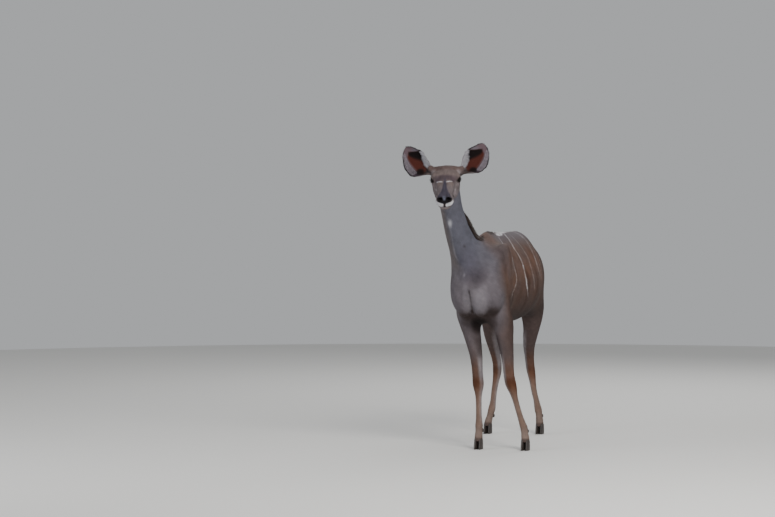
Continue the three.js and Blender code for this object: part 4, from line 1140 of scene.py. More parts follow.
def face_colour(c, q, head):
    c = mix(c, CHEEK, head)
    brow = ramp(-q[:, 1], -6, 22)
    c = mix(c, FOREHEAD, head * brow * (1 - ramp(q[:, 2], 90, 150)))
    c = mix(c, (78, 60, 56), head * brow * (1 - ramp(q[:, 2], -70, -20)) * 0.7)
    across, ahead = np.abs(q[:, 0]), q[:, 2]
    top = ramp(-q[:, 1], 0, 16)
    c = mix(c, (68, 57, 63), head * brow * ramp(ahead, 14, 40) * (1 - ramp(ahead, 62, 84)) * 0.75)
    reach = np.interp(ahead, [30, 90, 150, 190, 215, 240], [3, 6, 11, 20, 30, 36])
    c = mix(c, NOSE, head * top * ramp(ahead, 40, 90) * (1 - ramp(across - reach, -4, 7)))
    c = mix(c, (124, 117, 121), head * ramp(q[:, 1], 22, 46) * ramp(ahead, 20, 120) * 0.35)
    # painted shade in the creases between the muzzle and the cheeks
    c = mix(c, (80, 64, 61), head * spot(both_sides(q), [44, 26, 178], [12, 5, 34], 0.6) * 0.5)
    for bar in BROW_BARS:
        c = mix(c, WHITE, head * band(q, bar, 2.6, 3.6) * 0.85)
    return c


tell("the bridge of the nose", face_colour(PLAIN, np.array([[0, -34, 140.0]]), np.ones(1)))


# %% Colours of the muzzle
def muzzle_colour(c, q, head):
    across, ahead, mirrored = np.abs(q[:, 0]), q[:, 2], both_sides(q)
    lip = ramp(ahead, 214, 232) * ramp(q[:, 1], 9, 14) * (1 - ramp(q[:, 1], 35, 43))
    c = mix(c, WHITE, head * lip * ramp(across, 5, 10) * 0.9)
    c = mix(c, (124, 114, 114), head * ramp(q[:, 1], 38, 46) * ramp(ahead, 170, 225) * 0.7)
    pad = spot(mirrored, [0, 0, 252], [26, 19, 22], 0.25)
    c = mix(c, NOSE_TIP, head * pad)
    c = mix(c, (84, 86, 100), head * spot(q, [0, -13, 246], [11, 13, 16], 0.4) * 0.8)
    c = mix(c, (14, 12, 14), head * spot(mirrored, [23, -3, 243], [18, 14, 20], 0.25) * 0.95)
    c = mix(c, DARK, head * (1 - ramp(mouth_distance(q), 1.2, 3.2)) * ramp(ahead, 120, 160)
            * 0.85)
    return mix(c, (30, 26, 29), head * band(q, [[0, 12, 252], [0, 36, 252]], 5, 4)
               * (ahead > 220))


tell("the tip of the nose", muzzle_colour(PLAIN, np.array([[0, 4, 256.0]]), np.ones(1)))


# %% Colours round the eyes
def eye_surround(c, q, head):
    mirrored = both_sides(q)
    for place, size in (([50, 34, 62], 7), ([46, 46, 98], 6), ([54, 52, 30], 6)):
        c = mix(c, WHITE, head * spot(mirrored, place, [size, size, size * 1.3]) * 0.22)
    eye = np.array(EYE_AT, float)
    c = mix(c, PALE, head * spot(mirrored, eye + [-6, -22, -4], [16, 7, 20], 0.5) * 0.35)
    c = mix(c, PALE, head * spot(mirrored, [66, -4, -56], [16, 20, 26], 0.6) * 0.55)
    # dark skin round the eye, widened with painted shade from the brow ridge
    c = mix(c, (30, 23, 22), head * spot(mirrored, eye + [10, 0, 7], [19, 14.5, 23], 0.3) * 0.95)
    return mix(c, DARK, head * band(mirrored, [[50, 10, 24], [46, 22, 44]], 4, 8) * 0.5)


tell("the skin round an eye", eye_surround(PLAIN, np.array([EYE_AT], float), np.ones(1)))

# %% [markdown]
# Now they are laid over one another, from the trunk outwards. At the end a faint unevenness goes
# over everything, because no coat is quite one colour.

# %% Colours of the whole body
def body_colour(p, n, w):
    q = to_head(p)
    cloud, fine = noise(p, 230, 1), noise(p, 46, 2)
    head = w[:, HEAD_PART] * ramp(q[:, 2], -150, -90)
    c = neck_colour(trunk_colour(p, n, cloud), p, n, w)
    c = leg_colour(spine_colour(c, p, w, fine), p, n, w)
    for paint_part in (face_colour, muzzle_colour, eye_surround):
        c = paint_part(c, q, head)
    c = mix(c, TAIL_BROWN, w[:, TAIL_PART])
    c = mix(c, DARK, w[:, TAIL_PART] * (1 - ramp(p[:, 2], 850, 920)))
    streak = head * noise(q * [1, 1, 0.2], 13, 4)
    return c * (1 + 0.035 * cloud + 0.04 * fine + 0.05 * streak)[:, None]


tell("the withers' colour", body_colour(WITHERS, Z_AXIS[None], region_weights(WITHERS)))

# %% [markdown]
# Inside, the ear is bare and rust-red, with painted shade nearly black in its depth and in the
# pocket at its root, pale hair fanning over it from the inner edge and a grey border below a dark
# rim. Places on the ear are read from root to tip and outwards from its middle.

# %% Colours of the ears
def fan_edge(s):
    """How far out the pale hair of the ear reaches."""
    return np.interp(s, [0.12, 0.22, 0.37, 0.54], [0.34, 0.28, -0.1, -0.95])


def ear_colour(s, t, sign, inside):
    out, edge = t * sign, np.abs(t)
    c = np.tile(np.array(EAR_BACK, float), (len(s), 1))
    c = mix(c, EAR_RIM, ramp(s, 0.8, 0.98) * 0.6)
    c = mix(c, PALE, (1 - ramp(s, 0.18, 0.32)) * ramp(out, 0, 0.5) * 0.7)
    inner = np.tile(np.array(EAR_EDGE, float), (len(s), 1))
    inner = mix(inner, (84, 66, 70), ramp(s, 0.78, 0.9) * 0.7)
    inner = mix(inner, (58, 48, 56), (1 - ramp(s, 0.36, 0.52)) * ramp(out, 0.45, 0.7))
    top = np.interp(out, [-1, 0.2, 0.6], [0.62, 0.86, 0.8])
    hollow = (1 - ramp(out, 0.46, 0.64)) * (1 - ramp(s - top, -0.03, 0.04))
    inner = mix(inner, EAR_RED, hollow * ramp(s, 0.14, 0.24))
    line = np.interp(s, [0.4, 0.8], [-0.12, 0.32])
    # painted shade, nearly black, in the depth of the cup
    inner = mix(inner, EAR_DEPTH_SHADE, hollow * (1 - ramp(out - line, -0.1, 0.12))
                * ramp(s, 0.38, 0.47))
    place = np.stack([s, out], 1)
    # painted shade in the pocket of the cup and down the tube at the root
    inner = mix(inner, EAR_POCKET_SHADE, spot(place, [0.31, 0.5], [0.085, 0.2]) * 0.85)
    inner = mix(inner, EAR_POCKET_SHADE, (1 - ramp(s, 0.17, 0.26)) * (1 - ramp(edge, 0.7, 0.95)))
    fan = (1 - ramp(out - fan_edge(s), -0.3, 0.16)) * ramp(s, 0.1, 0.18)
    inner = mix(inner, (84, 78, 82), fan * (1 - ramp(s, 0.46, 0.58)) * 0.85)
    c = np.where(inside[:, None], inner, c)
    rim = ramp(edge, 0.86, 0.925) * ramp(s, 0.28, 0.4)
    return mix(c, (20, 16, 17), rim * np.where(out > 0, 1, 0.75 * ramp(s, 0.5, 0.6)))


tell("the middle of an ear", ear_colour(np.array([0.5]), np.zeros(1), LEFT, np.array([True])))

# %% [markdown]
# The painter needs to know which way the skin faces, because the underside of the belly gets
# painted shade and the insides of the legs are paler. So each point gets the mean direction of
# the triangles that meet there.

# %% The way the skin faces
def to_light(colour):
    """From colours as they look, 0 to 255, to light values."""
    v = np.clip(colour / 255, 0, 1)
    return np.where(v < 0.04045, v / 12.92, ((v + 0.055) / 1.055) ** 2.4)


def all_normals(points, quads, others):
    extra = [(r[0], r[k], r[k + 1]) for r in others for k in range(1, len(r) - 1)]
    triangles = np.concatenate([quads[:, [0, 1, 2]], quads[:, [0, 2, 3]],
                                np.array(extra, int).reshape(-1, 3)])
    a, b, c = (points[triangles[:, k]] for k in range(3))
    flat = np.cross(b - a, c - a)
    total = np.zeros_like(points)
    for k in range(3):
        np.add.at(total, triangles[:, k], flat)
    return triangles, total / np.maximum(np.linalg.norm(total, axis=1, keepdims=True), 1e-9)


skin_triangles, skin_normals = all_normals(skin_points, skin_quads, skin_others)
print(len(skin_triangles), "triangles of skin")


# %% Painting the skin
def paint(points, normals, kind, place, sign):
    """The markings' colour for any points on the skin, as light values."""
    colour = body_colour(points, normals, region_weights(points))
    on_ear = kind > 0
    if on_ear.any():
        s, t = place[on_ear].T
        painted = ear_colour(s, t, sign[on_ear], kind[on_ear] == EAR_INSIDE)
        rooted = ramp(s, 0.1, 0.24)[:, None]
        colour[on_ear] = colour[on_ear] * (1 - rooted) + painted * rooted
    return to_light(colour)


skin_colours = paint(skin_points, skin_normals, zone, ear_place, ear_sign)
print("painted", len(skin_colours), "points")

# %% [markdown]
# ## Materials
#
# Dull hair, dull horn, a wet eye and a painted floor differ in four ways: their colour, how
# much the colour is blotched, how rough they are, and the grain of their relief. So one function
# builds all of them. Its noise follows the object's own coordinates and can be stretched, along
# the hair or down the hoof. The colour is the painted value of the mesh, or one plain colour.

# %% A surface with blotches, roughness and relief
def socket(node, name, value):
    node.inputs[name].default_value = value


def material(name, colour=None, roughness=(0.6, 0.8), grain=400, bump=0.15, depth=0.001,
             blotch=0.12, specular=0.3, coat=0.0, stretch=(1, 1, 1)):
    mat = bpy.data.materials.new(name)
    mat.use_nodes = True
    tree = mat.node_tree
    shader = tree.nodes["Principled BSDF"]
    add, link = tree.nodes.new, tree.links.new
    where = add("ShaderNodeTexCoord")
    mapping = add("ShaderNodeMapping")
    socket(mapping, "Scale", stretch)
    link(where.outputs["Object"], mapping.inputs["Vector"])
    coarse, fine = add("ShaderNodeTexNoise"), add("ShaderNodeTexNoise")
    for node, scale, detail in ((coarse, grain / 12, 3), (fine, grain, 2)):
        socket(node, "Scale", scale)
        socket(node, "Detail", detail)
        link(mapping.outputs["Vector"], node.inputs["Vector"])
    shade = add("ShaderNodeMapRange")
    socket(shade, "To Min", 1 - blotch)
    socket(shade, "To Max", 1 + blotch)
    link(coarse.outputs["Fac"], shade.inputs["Value"])
    tint = add("ShaderNodeVectorMath")
    tint.operation = "SCALE"
    if colour is None:
        painted = add("ShaderNodeAttribute")
        painted.attribute_name = "markings"
        link(painted.outputs["Color"], tint.inputs[0])
    else:
        tint.inputs[0].default_value = to_light(np.array(colour, float)).tolist()
    link(shade.outputs["Result"], tint.inputs["Scale"])
    link(tint.outputs["Vector"], shader.inputs["Base Color"])
    rough = add("ShaderNodeMapRange")
    socket(rough, "To Min", roughness[0])
    socket(rough, "To Max", roughness[1])
    link(fine.outputs["Fac"], rough.inputs["Value"])
    link(rough.outputs["Result"], shader.inputs["Roughness"])
    relief = add("ShaderNodeBump")
    socket(relief, "Strength", bump)
    socket(relief, "Distance", depth)
    link(fine.outputs["Fac"], relief.inputs["Height"])
    link(relief.outputs["Normal"], shader.inputs["Normal"])
    socket(shader, "Specular IOR Level", specular)
    socket(shader, "Coat Weight", coat)
    socket(shader, "Coat Roughness", 0.05)
    return mat


print("the grey coat as light values", to_light(PLAIN)[0].round(3).tolist())


# %% The materials
skin_material = material("short_coat", grain=900, bump=0.5, depth=0.0012, roughness=(0.75, 0.95),
                         specular=0.12, stretch=(1, 1, 0.4))
tuft_material = material("tufts", grain=700, bump=0.1, roughness=(0.6, 0.85), blotch=0.08,
                         specular=0.15)
lock_material = material("long_hair", grain=900, bump=0.2, roughness=(0.45, 0.7), blotch=0.15,
                         specular=0.25, stretch=(1, 1, 0.3))
horn_material = material("horn", (50, 43, 40), grain=260, bump=0.3, depth=0.0008,
                         roughness=(0.35, 0.6), blotch=0.25, specular=0.5, stretch=(0.4, 0.4, 3))
floor_material = material("floor_paint", (214, 213, 210), grain=3, bump=0.02,
                          roughness=(0.75, 0.85), blotch=0.01)
eye_material = material("wet_eye", roughness=(0.1, 0.16), grain=60, bump=0.02, blotch=0.05,
                        specular=0.1, coat=0.04)
floor.data.materials.append(floor_material)
print(len(bpy.data.materials), "materials")

# %% [markdown]
# ## The skin as an object
#
# Blender makes a mesh from Python lists slowly, and from arrays very fast. The arrays hold the
# points, the faces' corners one after another and the number of corners of each face. Painted
# colours go into an attribute that the material reads. Coat pieces also carry their own normals
# and a place on the map.

# %% Meshes from arrays
def fast_mesh(name, points, corners, sizes, colours, mat, normals=None, uv=None):
    mesh = bpy.data.meshes.new(name)
    mesh.vertices.add(len(points))
    mesh.vertices.foreach_set("co", np.ascontiguousarray(points, np.float32).ravel())
    mesh.loops.add(len(corners))
    mesh.loops.foreach_set("vertex_index", np.ascontiguousarray(corners, np.int32))
    mesh.polygons.add(len(sizes))
    starts = np.concatenate([[0], np.cumsum(sizes)[:-1]])
    mesh.polygons.foreach_set("loop_start", np.ascontiguousarray(starts, np.int32))
    mesh.update(calc_edges=True)
    mesh.validate()
    mesh.shade_smooth()
    if colours is not None:
        layer = mesh.color_attributes.new("markings", "FLOAT_COLOR", "POINT")
        shown = np.concatenate([colours, np.ones((len(colours), 1))], 1)
        layer.data.foreach_set("color", shown.astype(np.float32).ravel())
    if uv is not None:
        layer = mesh.uv_layers.new(name="OFBake")
        layer.data.foreach_set("uv", np.ascontiguousarray(uv[corners], np.float32).ravel())
    if normals is not None:
        mesh.normals_split_custom_set_from_vertices(normals.tolist())
    mesh.materials.append(mat)
    obj = bpy.data.objects.new(name, mesh)
    bpy.context.scene.collection.objects.link(obj)
    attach(obj, "root")
    return obj


def quad_mesh(name, points, quads, colours, mat):
    return fast_mesh(name, frame_point(points), quads.ravel(), np.full(len(quads), 4),
                     colours, mat)


print("meshes so far", len(bpy.data.meshes))


# %% The skin
other_corners = [k for ring in skin_others for k in ring]
skin = fast_mesh(
    "kudu_skin", frame_point(skin_points),
    np.concatenate([skin_quads.ravel(), np.array(other_corners, int)]),
    np.array([4] * len(skin_quads) + [len(ring) for ring in skin_others]),
    skin_colours, skin_material)
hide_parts("torso", "neck", "head", "tail", "ear_left", "ear_right", *LEG_NAMES)
print("skin mesh", len(skin.data.polygons), "faces")

# %% [markdown]
# ## Eyes and the rims of the lids
#
# The eye is a dark wet ball with a faint brown iris and a wide lying pupil, bulging a little in
# front. A ball from rings could be added from the menu, but here the rings lie round the way
# the eye looks, so iris and pupil are painted on them exactly.

# %% Rings of faces
def grid_faces(rows, columns):
    number = np.arange(rows * columns).reshape(rows, columns)
    number = np.concatenate([number, number[:, :1]], 1)
    a, b = number[:-1, :-1].ravel(), number[:-1, 1:].ravel()
    c, d = number[1:, 1:].ravel(), number[1:, :-1].ravel()
    return np.stack([a, b, c, d], 1)


def outward(points, quads, middle):
    """Turns all faces round if they look at the middle instead of away from it."""
    a, b, c = (points[quads[:, k]] for k in range(3))
    look = (np.cross(b - a, c - a) * (a - middle)).sum()
    return quads if look > 0 else quads[:, ::-1]


print("two rings of six points have", len(grid_faces(2, 6)), "faces between them")


# %% The eyeball
SIDES = {LEFT: "left", RIGHT: "right"}
BALL_ROWS, BALL_COLUMNS = 40, 48


def make_eyeball(sign):
    middle, look, lengthwise, upward = eye_axes(sign)
    tilt = np.linspace(0.001, math.pi - 0.001, BALL_ROWS)[:, None]
    turn = np.linspace(0, 2 * math.pi, BALL_COLUMNS + 1)[None, :-1]
    bulge = EYE_RADIUS + 0.9 * np.exp(-(tilt / 0.5) ** 2)
    away = np.stack([np.sin(tilt) * np.cos(turn), np.sin(tilt) * np.sin(turn),
                     np.cos(tilt) * np.ones_like(turn)], -1)
    ball = middle + (away * bulge[..., None]).reshape(-1, 3) @ np.stack(
        [lengthwise, upward, look])
    flat = away.reshape(-1, 3)
    iris = np.hypot(flat[:, 0], flat[:, 1]) / 0.62
    pupil = np.hypot(flat[:, 0] / 0.42, flat[:, 1] / 0.2)
    c = np.tile(np.array((24, 18, 17), float), (len(flat), 1))
    c = mix(c, (17, 11, 9), 1 - ramp(iris, 0.92, 1.05))
    c = mix(c, (10, 6, 6), ramp(iris, 0.8, 0.98) * (1 - ramp(iris, 1.0, 1.15)))
    c = mix(c, (5, 4, 5), (1 - ramp(pupil, 0.85, 1.1)) * (flat[:, 2] > 0))
    quads = outward(ball, grid_faces(BALL_ROWS, BALL_COLUMNS), middle)
    eye = quad_mesh(f"eyeball_{SIDES[sign]}", ball, quads, to_light(c), eye_material)
    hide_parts(f"eye_{SIDES[sign]}")


print("an eyeball is", 2 * EYE_RADIUS, "mm across")

# %% [markdown]
# The skin already has lids with an opening. Their edge on a living animal is a dark wet roll
# that touches the ball all round, finer than the skin's faces. So it is a band of its own, which
# rises from the ball, rolls over and runs under the skin.

# %% The rims of the lids
LID_COLUMNS = 64


def make_lids(sign):
    middle, look, lengthwise, upward = eye_axes(sign)
    around = np.linspace(0, 2 * math.pi, LID_COLUMNS + 1)[None, :-1]
    reach = np.array([0.93, 0.97, 1.01, 1.06, 1.12, 1.2, 1.3])[:, None]
    rise = np.array([-0.4, 1.0, 1.9, 2.2, 1.7, 0.4, -2.5])[:, None]
    upper = np.clip(np.sin(around), 0, 1)
    a = EYE_OPENING[0] * reach * np.cos(around)
    b = EYE_OPENING[1] * reach * np.sin(around) * (1 - 0.25 * np.abs(np.cos(around)))
    b = b * np.where(np.sin(around) > 0, 1.0, 0.92)
    size = EYE_RADIUS + rise + 0.5 * upper * (reach > 1) * (reach < 1.15)
    flat_reach = np.minimum(np.hypot(a, b), size * 0.999)
    shrink = flat_reach / np.hypot(a, b)
    out = np.sqrt(size ** 2 - flat_reach ** 2)
    lids = (middle + (a * shrink)[..., None] * lengthwise + (b * shrink)[..., None] * upward
            + out[..., None] * look).reshape(-1, 3)
    quads = outward(lids, grid_faces(len(reach), LID_COLUMNS), middle)
    edge = np.repeat(ramp(reach[:, 0], 1.1, 1.4), LID_COLUMNS)
    c = body_colour(lids, unit(lids - middle), region_weights(lids))
    c = mix(c, (24, 19, 18), 1 - edge)
    lid = quad_mesh(f"lids_{SIDES[sign]}", lids, quads, to_light(c), skin_material)


for sign in SIDES:
    make_eyeball(sign)
    make_lids(sign)
print("eyes and lids made")

# %% [markdown]
# ## Hooves and dewclaws
#
# Each foot has two narrow pointed toes with flat soles and fine growth rings, and two small
# dewclaws behind the fetlock. The photo doesn't show them, so they come from the species. Toes
# are stacks of rings, flat-bottomed and drawn to a point in front; the growth rings are a slight
# wave in the rings' size.

# %% The shape of a toe
TOE_ROWS, TOE_COLUMNS = 15, 36
toe_size = smooth_rows(TOE)


def toe_points(x, y):
    z = np.concatenate([[0.0, 0.0], np.linspace(0.6, HOOF_HEIGHT + 3, TOE_ROWS)])[:, None]
    a = (np.arange(TOE_COLUMNS) + 0.5) * 2 * math.pi / TOE_COLUMNS
    half, front, back = np.moveaxis(toe_size(np.minimum(z, HOOF_HEIGHT)), -1, 0)
    forward = np.sin(a)
    narrow = np.where(forward > 0, 1 - 0.42 * forward ** 2, 1 - 0.12 * forward ** 2)
    reach = np.where(forward > 0, front, back)
    ring = 1 + 0.012 * np.sin(z * 1.1) * (z > 1) * (z < 48)
    shrink = np.where(np.arange(len(z))[:, None] == 0, 0.02, ring)
    shrink = np.where(z > HOOF_HEIGHT, 0.9, shrink)
    return np.stack([x + half * narrow * np.cos(a) * shrink, y - reach * forward * shrink,
                     z * np.ones_like(a)], -1).reshape(-1, 3)


print("a toe has", len(toe_points(0, 0)), "points")


# %% The shape of a dewclaw
CLAW_ROWS, CLAW_COLUMNS = 11, 20


def dewclaw_points(x, y, sign):
    top = np.array([x + DEWCLAW["apart"] * sign, y + DEWCLAW["behind"], DEWCLAW["height"] + 6])
    t = np.linspace(0, 1, CLAW_ROWS)
    line = top + np.stack([0 * t, -6 + 13 * t, -DEWCLAW["length"] * t], 1)
    size = DEWCLAW["radius"] * np.interp(t, [0, 0.3, 0.6, 0.85, 1], [0.4, 0.88, 1, 0.7, 0.12])
    along = unit(line[-1] - line[0])
    u = unit(X_AXIS - along * (X_AXIS @ along))
    v = np.cross(u, along)
    a = np.linspace(0, 2 * math.pi, CLAW_COLUMNS + 1)[:-1]
    circle = np.cos(a)[:, None] * u + np.sin(a)[:, None] * v
    return (line[:, None] + size[:, None, None] * circle).reshape(-1, 3)


print("a dewclaw has", len(dewclaw_points(0, 0, LEFT)), "points")


# %% Four feet
def make_horn(name, points, columns, node):
    quads = outward(points, grid_faces(len(points) // columns, columns), points.mean(0))
    horn = quad_mesh(name, points, quads, None, horn_material)
    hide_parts(node)


for name in LEG_NAMES:
    foot = legs[name]["section"](np.array([HOOF_HEIGHT + 0.3]))[0]
    fetlock = legs[name]["section"](np.array([float(DEWCLAW["height"])]))[0]
    own = LEFT if name.endswith("left") else RIGHT
    for sign in (LEFT, RIGHT):
        where = "outer" if sign == own else "inner"
        make_horn(f"toe_{name}_{where}", toe_points(foot[0] + TOE_APART * sign, -foot[1]),
                  TOE_COLUMNS, f"hoof_{name}_{where}")
        make_horn(f"claw_{name}_{where}", dewclaw_points(fetlock[0], -fetlock[1], sign),
                  CLAW_COLUMNS, f"dewclaw_{name}_{where}")
print("hooves and dewclaws made")

# %% [markdown]
# ## The short coat
#
# A kudu's hair is short and lies back over the face and the trunk, down the neck and down the
# legs. Particle hair would be the usual way, but it leaves no faces in the model. So the coat
# is made of tufts: four-sided spikes, flat to the skin, seeded evenly over its faces and coloured
# by the same painter. They are smallest on the face and the feet.
#
# First the lie of the hair: one direction for each part, blended where parts meet, swayed a
# little and laid flat on the skin.

# %% The lie of the hair
neck_down = unit(np.subtract(NECK[0][:3], NECK[-1][:3]))


def lie_of_hair(p, n, w):
    ways = np.array([[0, 1, -0.42], neck_down, -head_along, [0, 0.25, -1], *[[0, 0.12, -1]] * 4])
    way = w @ np.stack([unit(v) for v in ways])
    crest = ramp(n[:, 2], 0.5, 0.95) * w[:, TRUNK_PART]
    way = way + crest[:, None] * np.array([0, 0.3, 0.2])
    sway = noise(p, 160, 7)[:, None] * np.cross(n, way) * 0.22
    way = way + sway
    return unit(way - n * (way * n).sum(1, keepdims=True))


print("hair of the neck lies", np.round(neck_down, 2))

# %% [markdown]
# The map for baking puts each tuft where its root lies on an unwrap of the skin. Every part has
# a rectangle of the map, read by the angle round the part and the way along it, so neighbours on
# the body are neighbours on the map.

# %% Places on the map
def bake_place(p, kind, place, sign):
    w = region_weights(p)
    region = w.argmax(1)
    q = to_head(p)
    s = (p - np.array(NECK[0][:3], float)) @ -neck_down
    on_trunk = np.arctan2(p[:, 0], p[:, 2] - 950) / (2 * math.pi) + 0.5
    on_neck = np.arctan2(p[:, 0] + 30 + 0.22 * s, -p[:, 1] - 400 - 0.42 * s) / (2 * math.pi) + 0.5
    around = np.arctan2(q[:, 0], -q[:, 1]) / (2 * math.pi) + 0.5
    uv = np.stack([0.02 + 0.44 * on_trunk, 0.02 + 0.46 * (p[:, 1] + 700) / 1400], 1)
    pick = region == NECK_PART
    uv[pick] = np.stack([0.5 + 0.2 * on_neck, 0.02 + 0.46 * s / 720], 1)[pick]
    pick = region == HEAD_PART
    uv[pick] = np.stack([0.73 + 0.25 * around, 0.02 + 0.46 * (q[:, 2] + 190) / 460], 1)[pick]
    pick = region == TAIL_PART
    uv[pick] = np.stack([0.9 + 0.08 * on_trunk, 0.52 + 0.46 * (p[:, 2] - 700) / 420], 1)[pick]
    for k, name in enumerate(LEG_NAMES):
        pick = region == FIRST_LEG + k
        middle = legs[name]["section"](p[pick][:, 2])
        turn = np.arctan2(p[pick][:, 0] - middle[:, 0], p[pick][:, 1] + middle[:, 1])
        uv[pick] = np.stack([0.02 + 0.13 * k + 0.11 * (turn / (2 * math.pi) + 0.5),
                             0.52 + 0.46 * p[pick][:, 2] / 860], 1)
    column = 0.56 + 0.08 * ((sign > 0) * 2 + (kind == EAR_INSIDE))
    on_ear = np.stack([column + 0.035 * (place[:, 1] + 1), 0.52 + 0.46 * place[:, 0]], 1)
    uv = np.where((kind > 0)[:, None], on_ear, uv)
    return np.clip(uv, 0.004, 0.996)


def body_place(p):
    nobody = np.zeros(len(p), int)
    return bake_place(p, nobody, np.zeros((len(p), 2)), nobody)


print("the withers lie on the map at", np.round(body_place(np.array([[0, -200, 1240.0]]))[0], 2))


# %% Seeding over the skin
def scatter(count, density, seed):
    """Evenly seeded places on the skin: face numbers and weights of the three corners."""
    rng = np.random.default_rng(seed)
    a, b, c = (skin_points[skin_triangles[:, k]] for k in range(3))
    share = np.linalg.norm(np.cross(b - a, c - a), axis=1) * density
    total = np.cumsum(share)
    face = np.searchsorted(total, (np.arange(count) + rng.random(count)) / count * total[-1])
    face = np.minimum(face, len(share) - 1)
    u, v = rng.random((2, count))
    flip = u + v > 1
    u, v = np.where(flip, 1 - u, u), np.where(flip, 1 - v, v)
    return face, np.stack([1 - u - v, u, v], 1), rng


def at_faces(values, face, weight):
    return (values[skin_triangles[face]] * weight[..., None]).sum(1)


print(len(skin_triangles), "triangles to seed on")

# %% [markdown]
# Where tufts are small there must be more of them to cover the skin. None grow on the eyes, in
# the nostrils, on the wet pad of the nose, along the lips or inside the hooves, and few inside
# the ears.

# %% How thickly the tufts stand
middles = skin_points[skin_triangles].mean(1)
q = to_head(middles)
face_zone = (q[:, 2] > -60) & (np.abs(q[:, 0]) < 120) & (np.abs(q[:, 1]) < 140)
foot_zone = middles[:, 2] < 420
ear_zone = zone[skin_triangles].min(1) > 0
density = np.where(face_zone, 3.4, np.where(foot_zone, 1.9, np.where(ear_zone, 1.6, 1.0)))
hidden = middles[:, 2] < HOOF_HEIGHT - 6
bare = np.zeros(len(middles), bool)
for sign in (LEFT, RIGHT):
    eye = np.linalg.norm(q - np.array(EYE_AT) * [sign, 1, 1], axis=1)
    bare |= eye < EYE_RADIUS + 0.6
    bare |= np.linalg.norm(q - np.array(NOSTRIL_AT) * [sign, 1, 1], axis=1) < 12
bare |= np.linalg.norm((q - [0, 0, 256]) / [22, 14, 14], axis=1) < 1
bare |= (mouth_distance(q) < 2.5) & (q[:, 2] > 120)
inside_ear = zone[skin_triangles].min(1) == EAR_INSIDE
density = np.where(bare | hidden, 0, density) * np.where(inside_ear, 0.45, 1)
TUFTS = 280000
print("bare faces", int(bare.sum()))

# %% [markdown]
# Each tuft takes its place, its lie and its colour from the three corners of its face. Length,
# width and the angle at which it stands off the skin vary a little from tuft to tuft.

# %% Tufts: place, lie, colour and size
face, weight, rng = scatter(TUFTS, density, 11)
p = at_faces(skin_points, face, weight)
n = unit(at_faces(skin_normals, face, weight))
kind = zone[skin_triangles[face, 0]]
kind = np.where(zone[skin_triangles[face]].min(1) > BODY, kind, BODY)
place = at_faces(ear_place, face, weight)
sign_of = ear_sign[skin_triangles[face, 0]]
w = region_weights(p)
lie = lie_of_hair(p, n, w)
for sign in (LEFT, RIGHT):
    on = (kind > 0) & (sign_of == sign)
    along, across = ear_frame(sign)[1::2]
    way = along + across * place[on][:, 1:] * 0.5
    lie[on] = unit(way - n[on] * (way * n[on]).sum(1, keepdims=True))
tone = paint(p, n, kind, place, sign_of)
short = np.where(face_zone[face], 5.5, np.where(foot_zone[face], 7.5, 13.0))
short = np.where(kind > 0, np.where(kind == EAR_INSIDE, 5.0, 7.0), short)
short = short * (0.5 + 0.5 * ramp(p[:, 2], 60, 120))
length = short * rng.uniform(0.7, 1.25, len(p))
width = length * rng.uniform(0.16, 0.24, len(p)) + 0.35
width = width * 1.0
stand = rng.uniform(0.04, 0.13, len(p)) * length
across = np.cross(n, lie)
turn = rng.normal(0, 0.14, len(p))[:, None]
lie = unit(lie + across * turn)
across = np.cross(n, lie)
light = (rng.normal(1, 0.07, len(p)) + 0.05 * noise(p, 18, 13))[:, None]
tone = np.clip(tone * light, 0, 1)
print(len(p), "tufts, the longest", round(float(length.max()), 1), "mm")

# %% [markdown]
# A tuft is a spike of four triangles: two corners in the skin, one raised a little over a third
# of the way along, and the tip. Its corners carry normals that lean only slightly from the
# skin's, so the coat is shaded as one soft surface. Sorted from part to part, the tufts are
# split into pieces of a size that is easy to handle.

# %% The tufts' meshes
PIECE = 49000
order = np.argsort(w.argmax(1) * 1e4 + p[:, 1] + 2000, kind="stable")
uv_root = bake_place(p, kind, place, sign_of)
for number, rows in enumerate(np.array_split(order, math.ceil(len(order) / PIECE))):
    P, N, L, S = p[rows], n[rows], lie[rows], across[rows]
    long, wide, up = length[rows, None], width[rows, None], stand[rows, None]
    base = P - N * 0.7
    corners = np.stack([
        base - S * wide / 2, base + S * wide / 2,
        P + L * long * 0.35 + N * (0.35 + 0.6 * up), P + L * long + N * up], 1)
    shading = np.stack([unit(N - 0.4 * S), unit(N + 0.4 * S), unit(N - 0.15 * L),
                        unit(N + 0.25 * L)], 1)
    hue = np.stack([tone[rows] * 0.9, tone[rows] * 0.9, tone[rows], tone[rows] * 1.06], 1)
    around = uv_root[rows][:, None] + 0.0015 * np.array([[-1, -1], [1, -1], [0, 0.2], [0, 1]])
    first = np.arange(len(rows))[:, None] * 4
    faces = np.concatenate([first + np.array(f) for f in
                            ((0, 2, 1), (1, 2, 3), (2, 0, 3), (0, 1, 3))], 1)
    piece = fast_mesh(f"coat_{number + 1}", frame_point(corners.reshape(-1, 3)), faces.ravel(),
                      np.full(len(rows) * 4, 3), np.clip(hue, 0, 1).reshape(-1, 3),
                      tuft_material, shading.reshape(-1, 3), around.reshape(-1, 2))
print(number + 1, "pieces of coat")

# %% [markdown]
# ## Long hair
#
# The mane along the nape and over the withers, the brush of the tail, the fringes of the ears
# and the lashes are longer and stand free. They are locks: tapered four-sided blades that bend
# from the way they leave the skin to the way they lie. One function grows all locks of a piece at
# once, from arrays with a row for each lock.

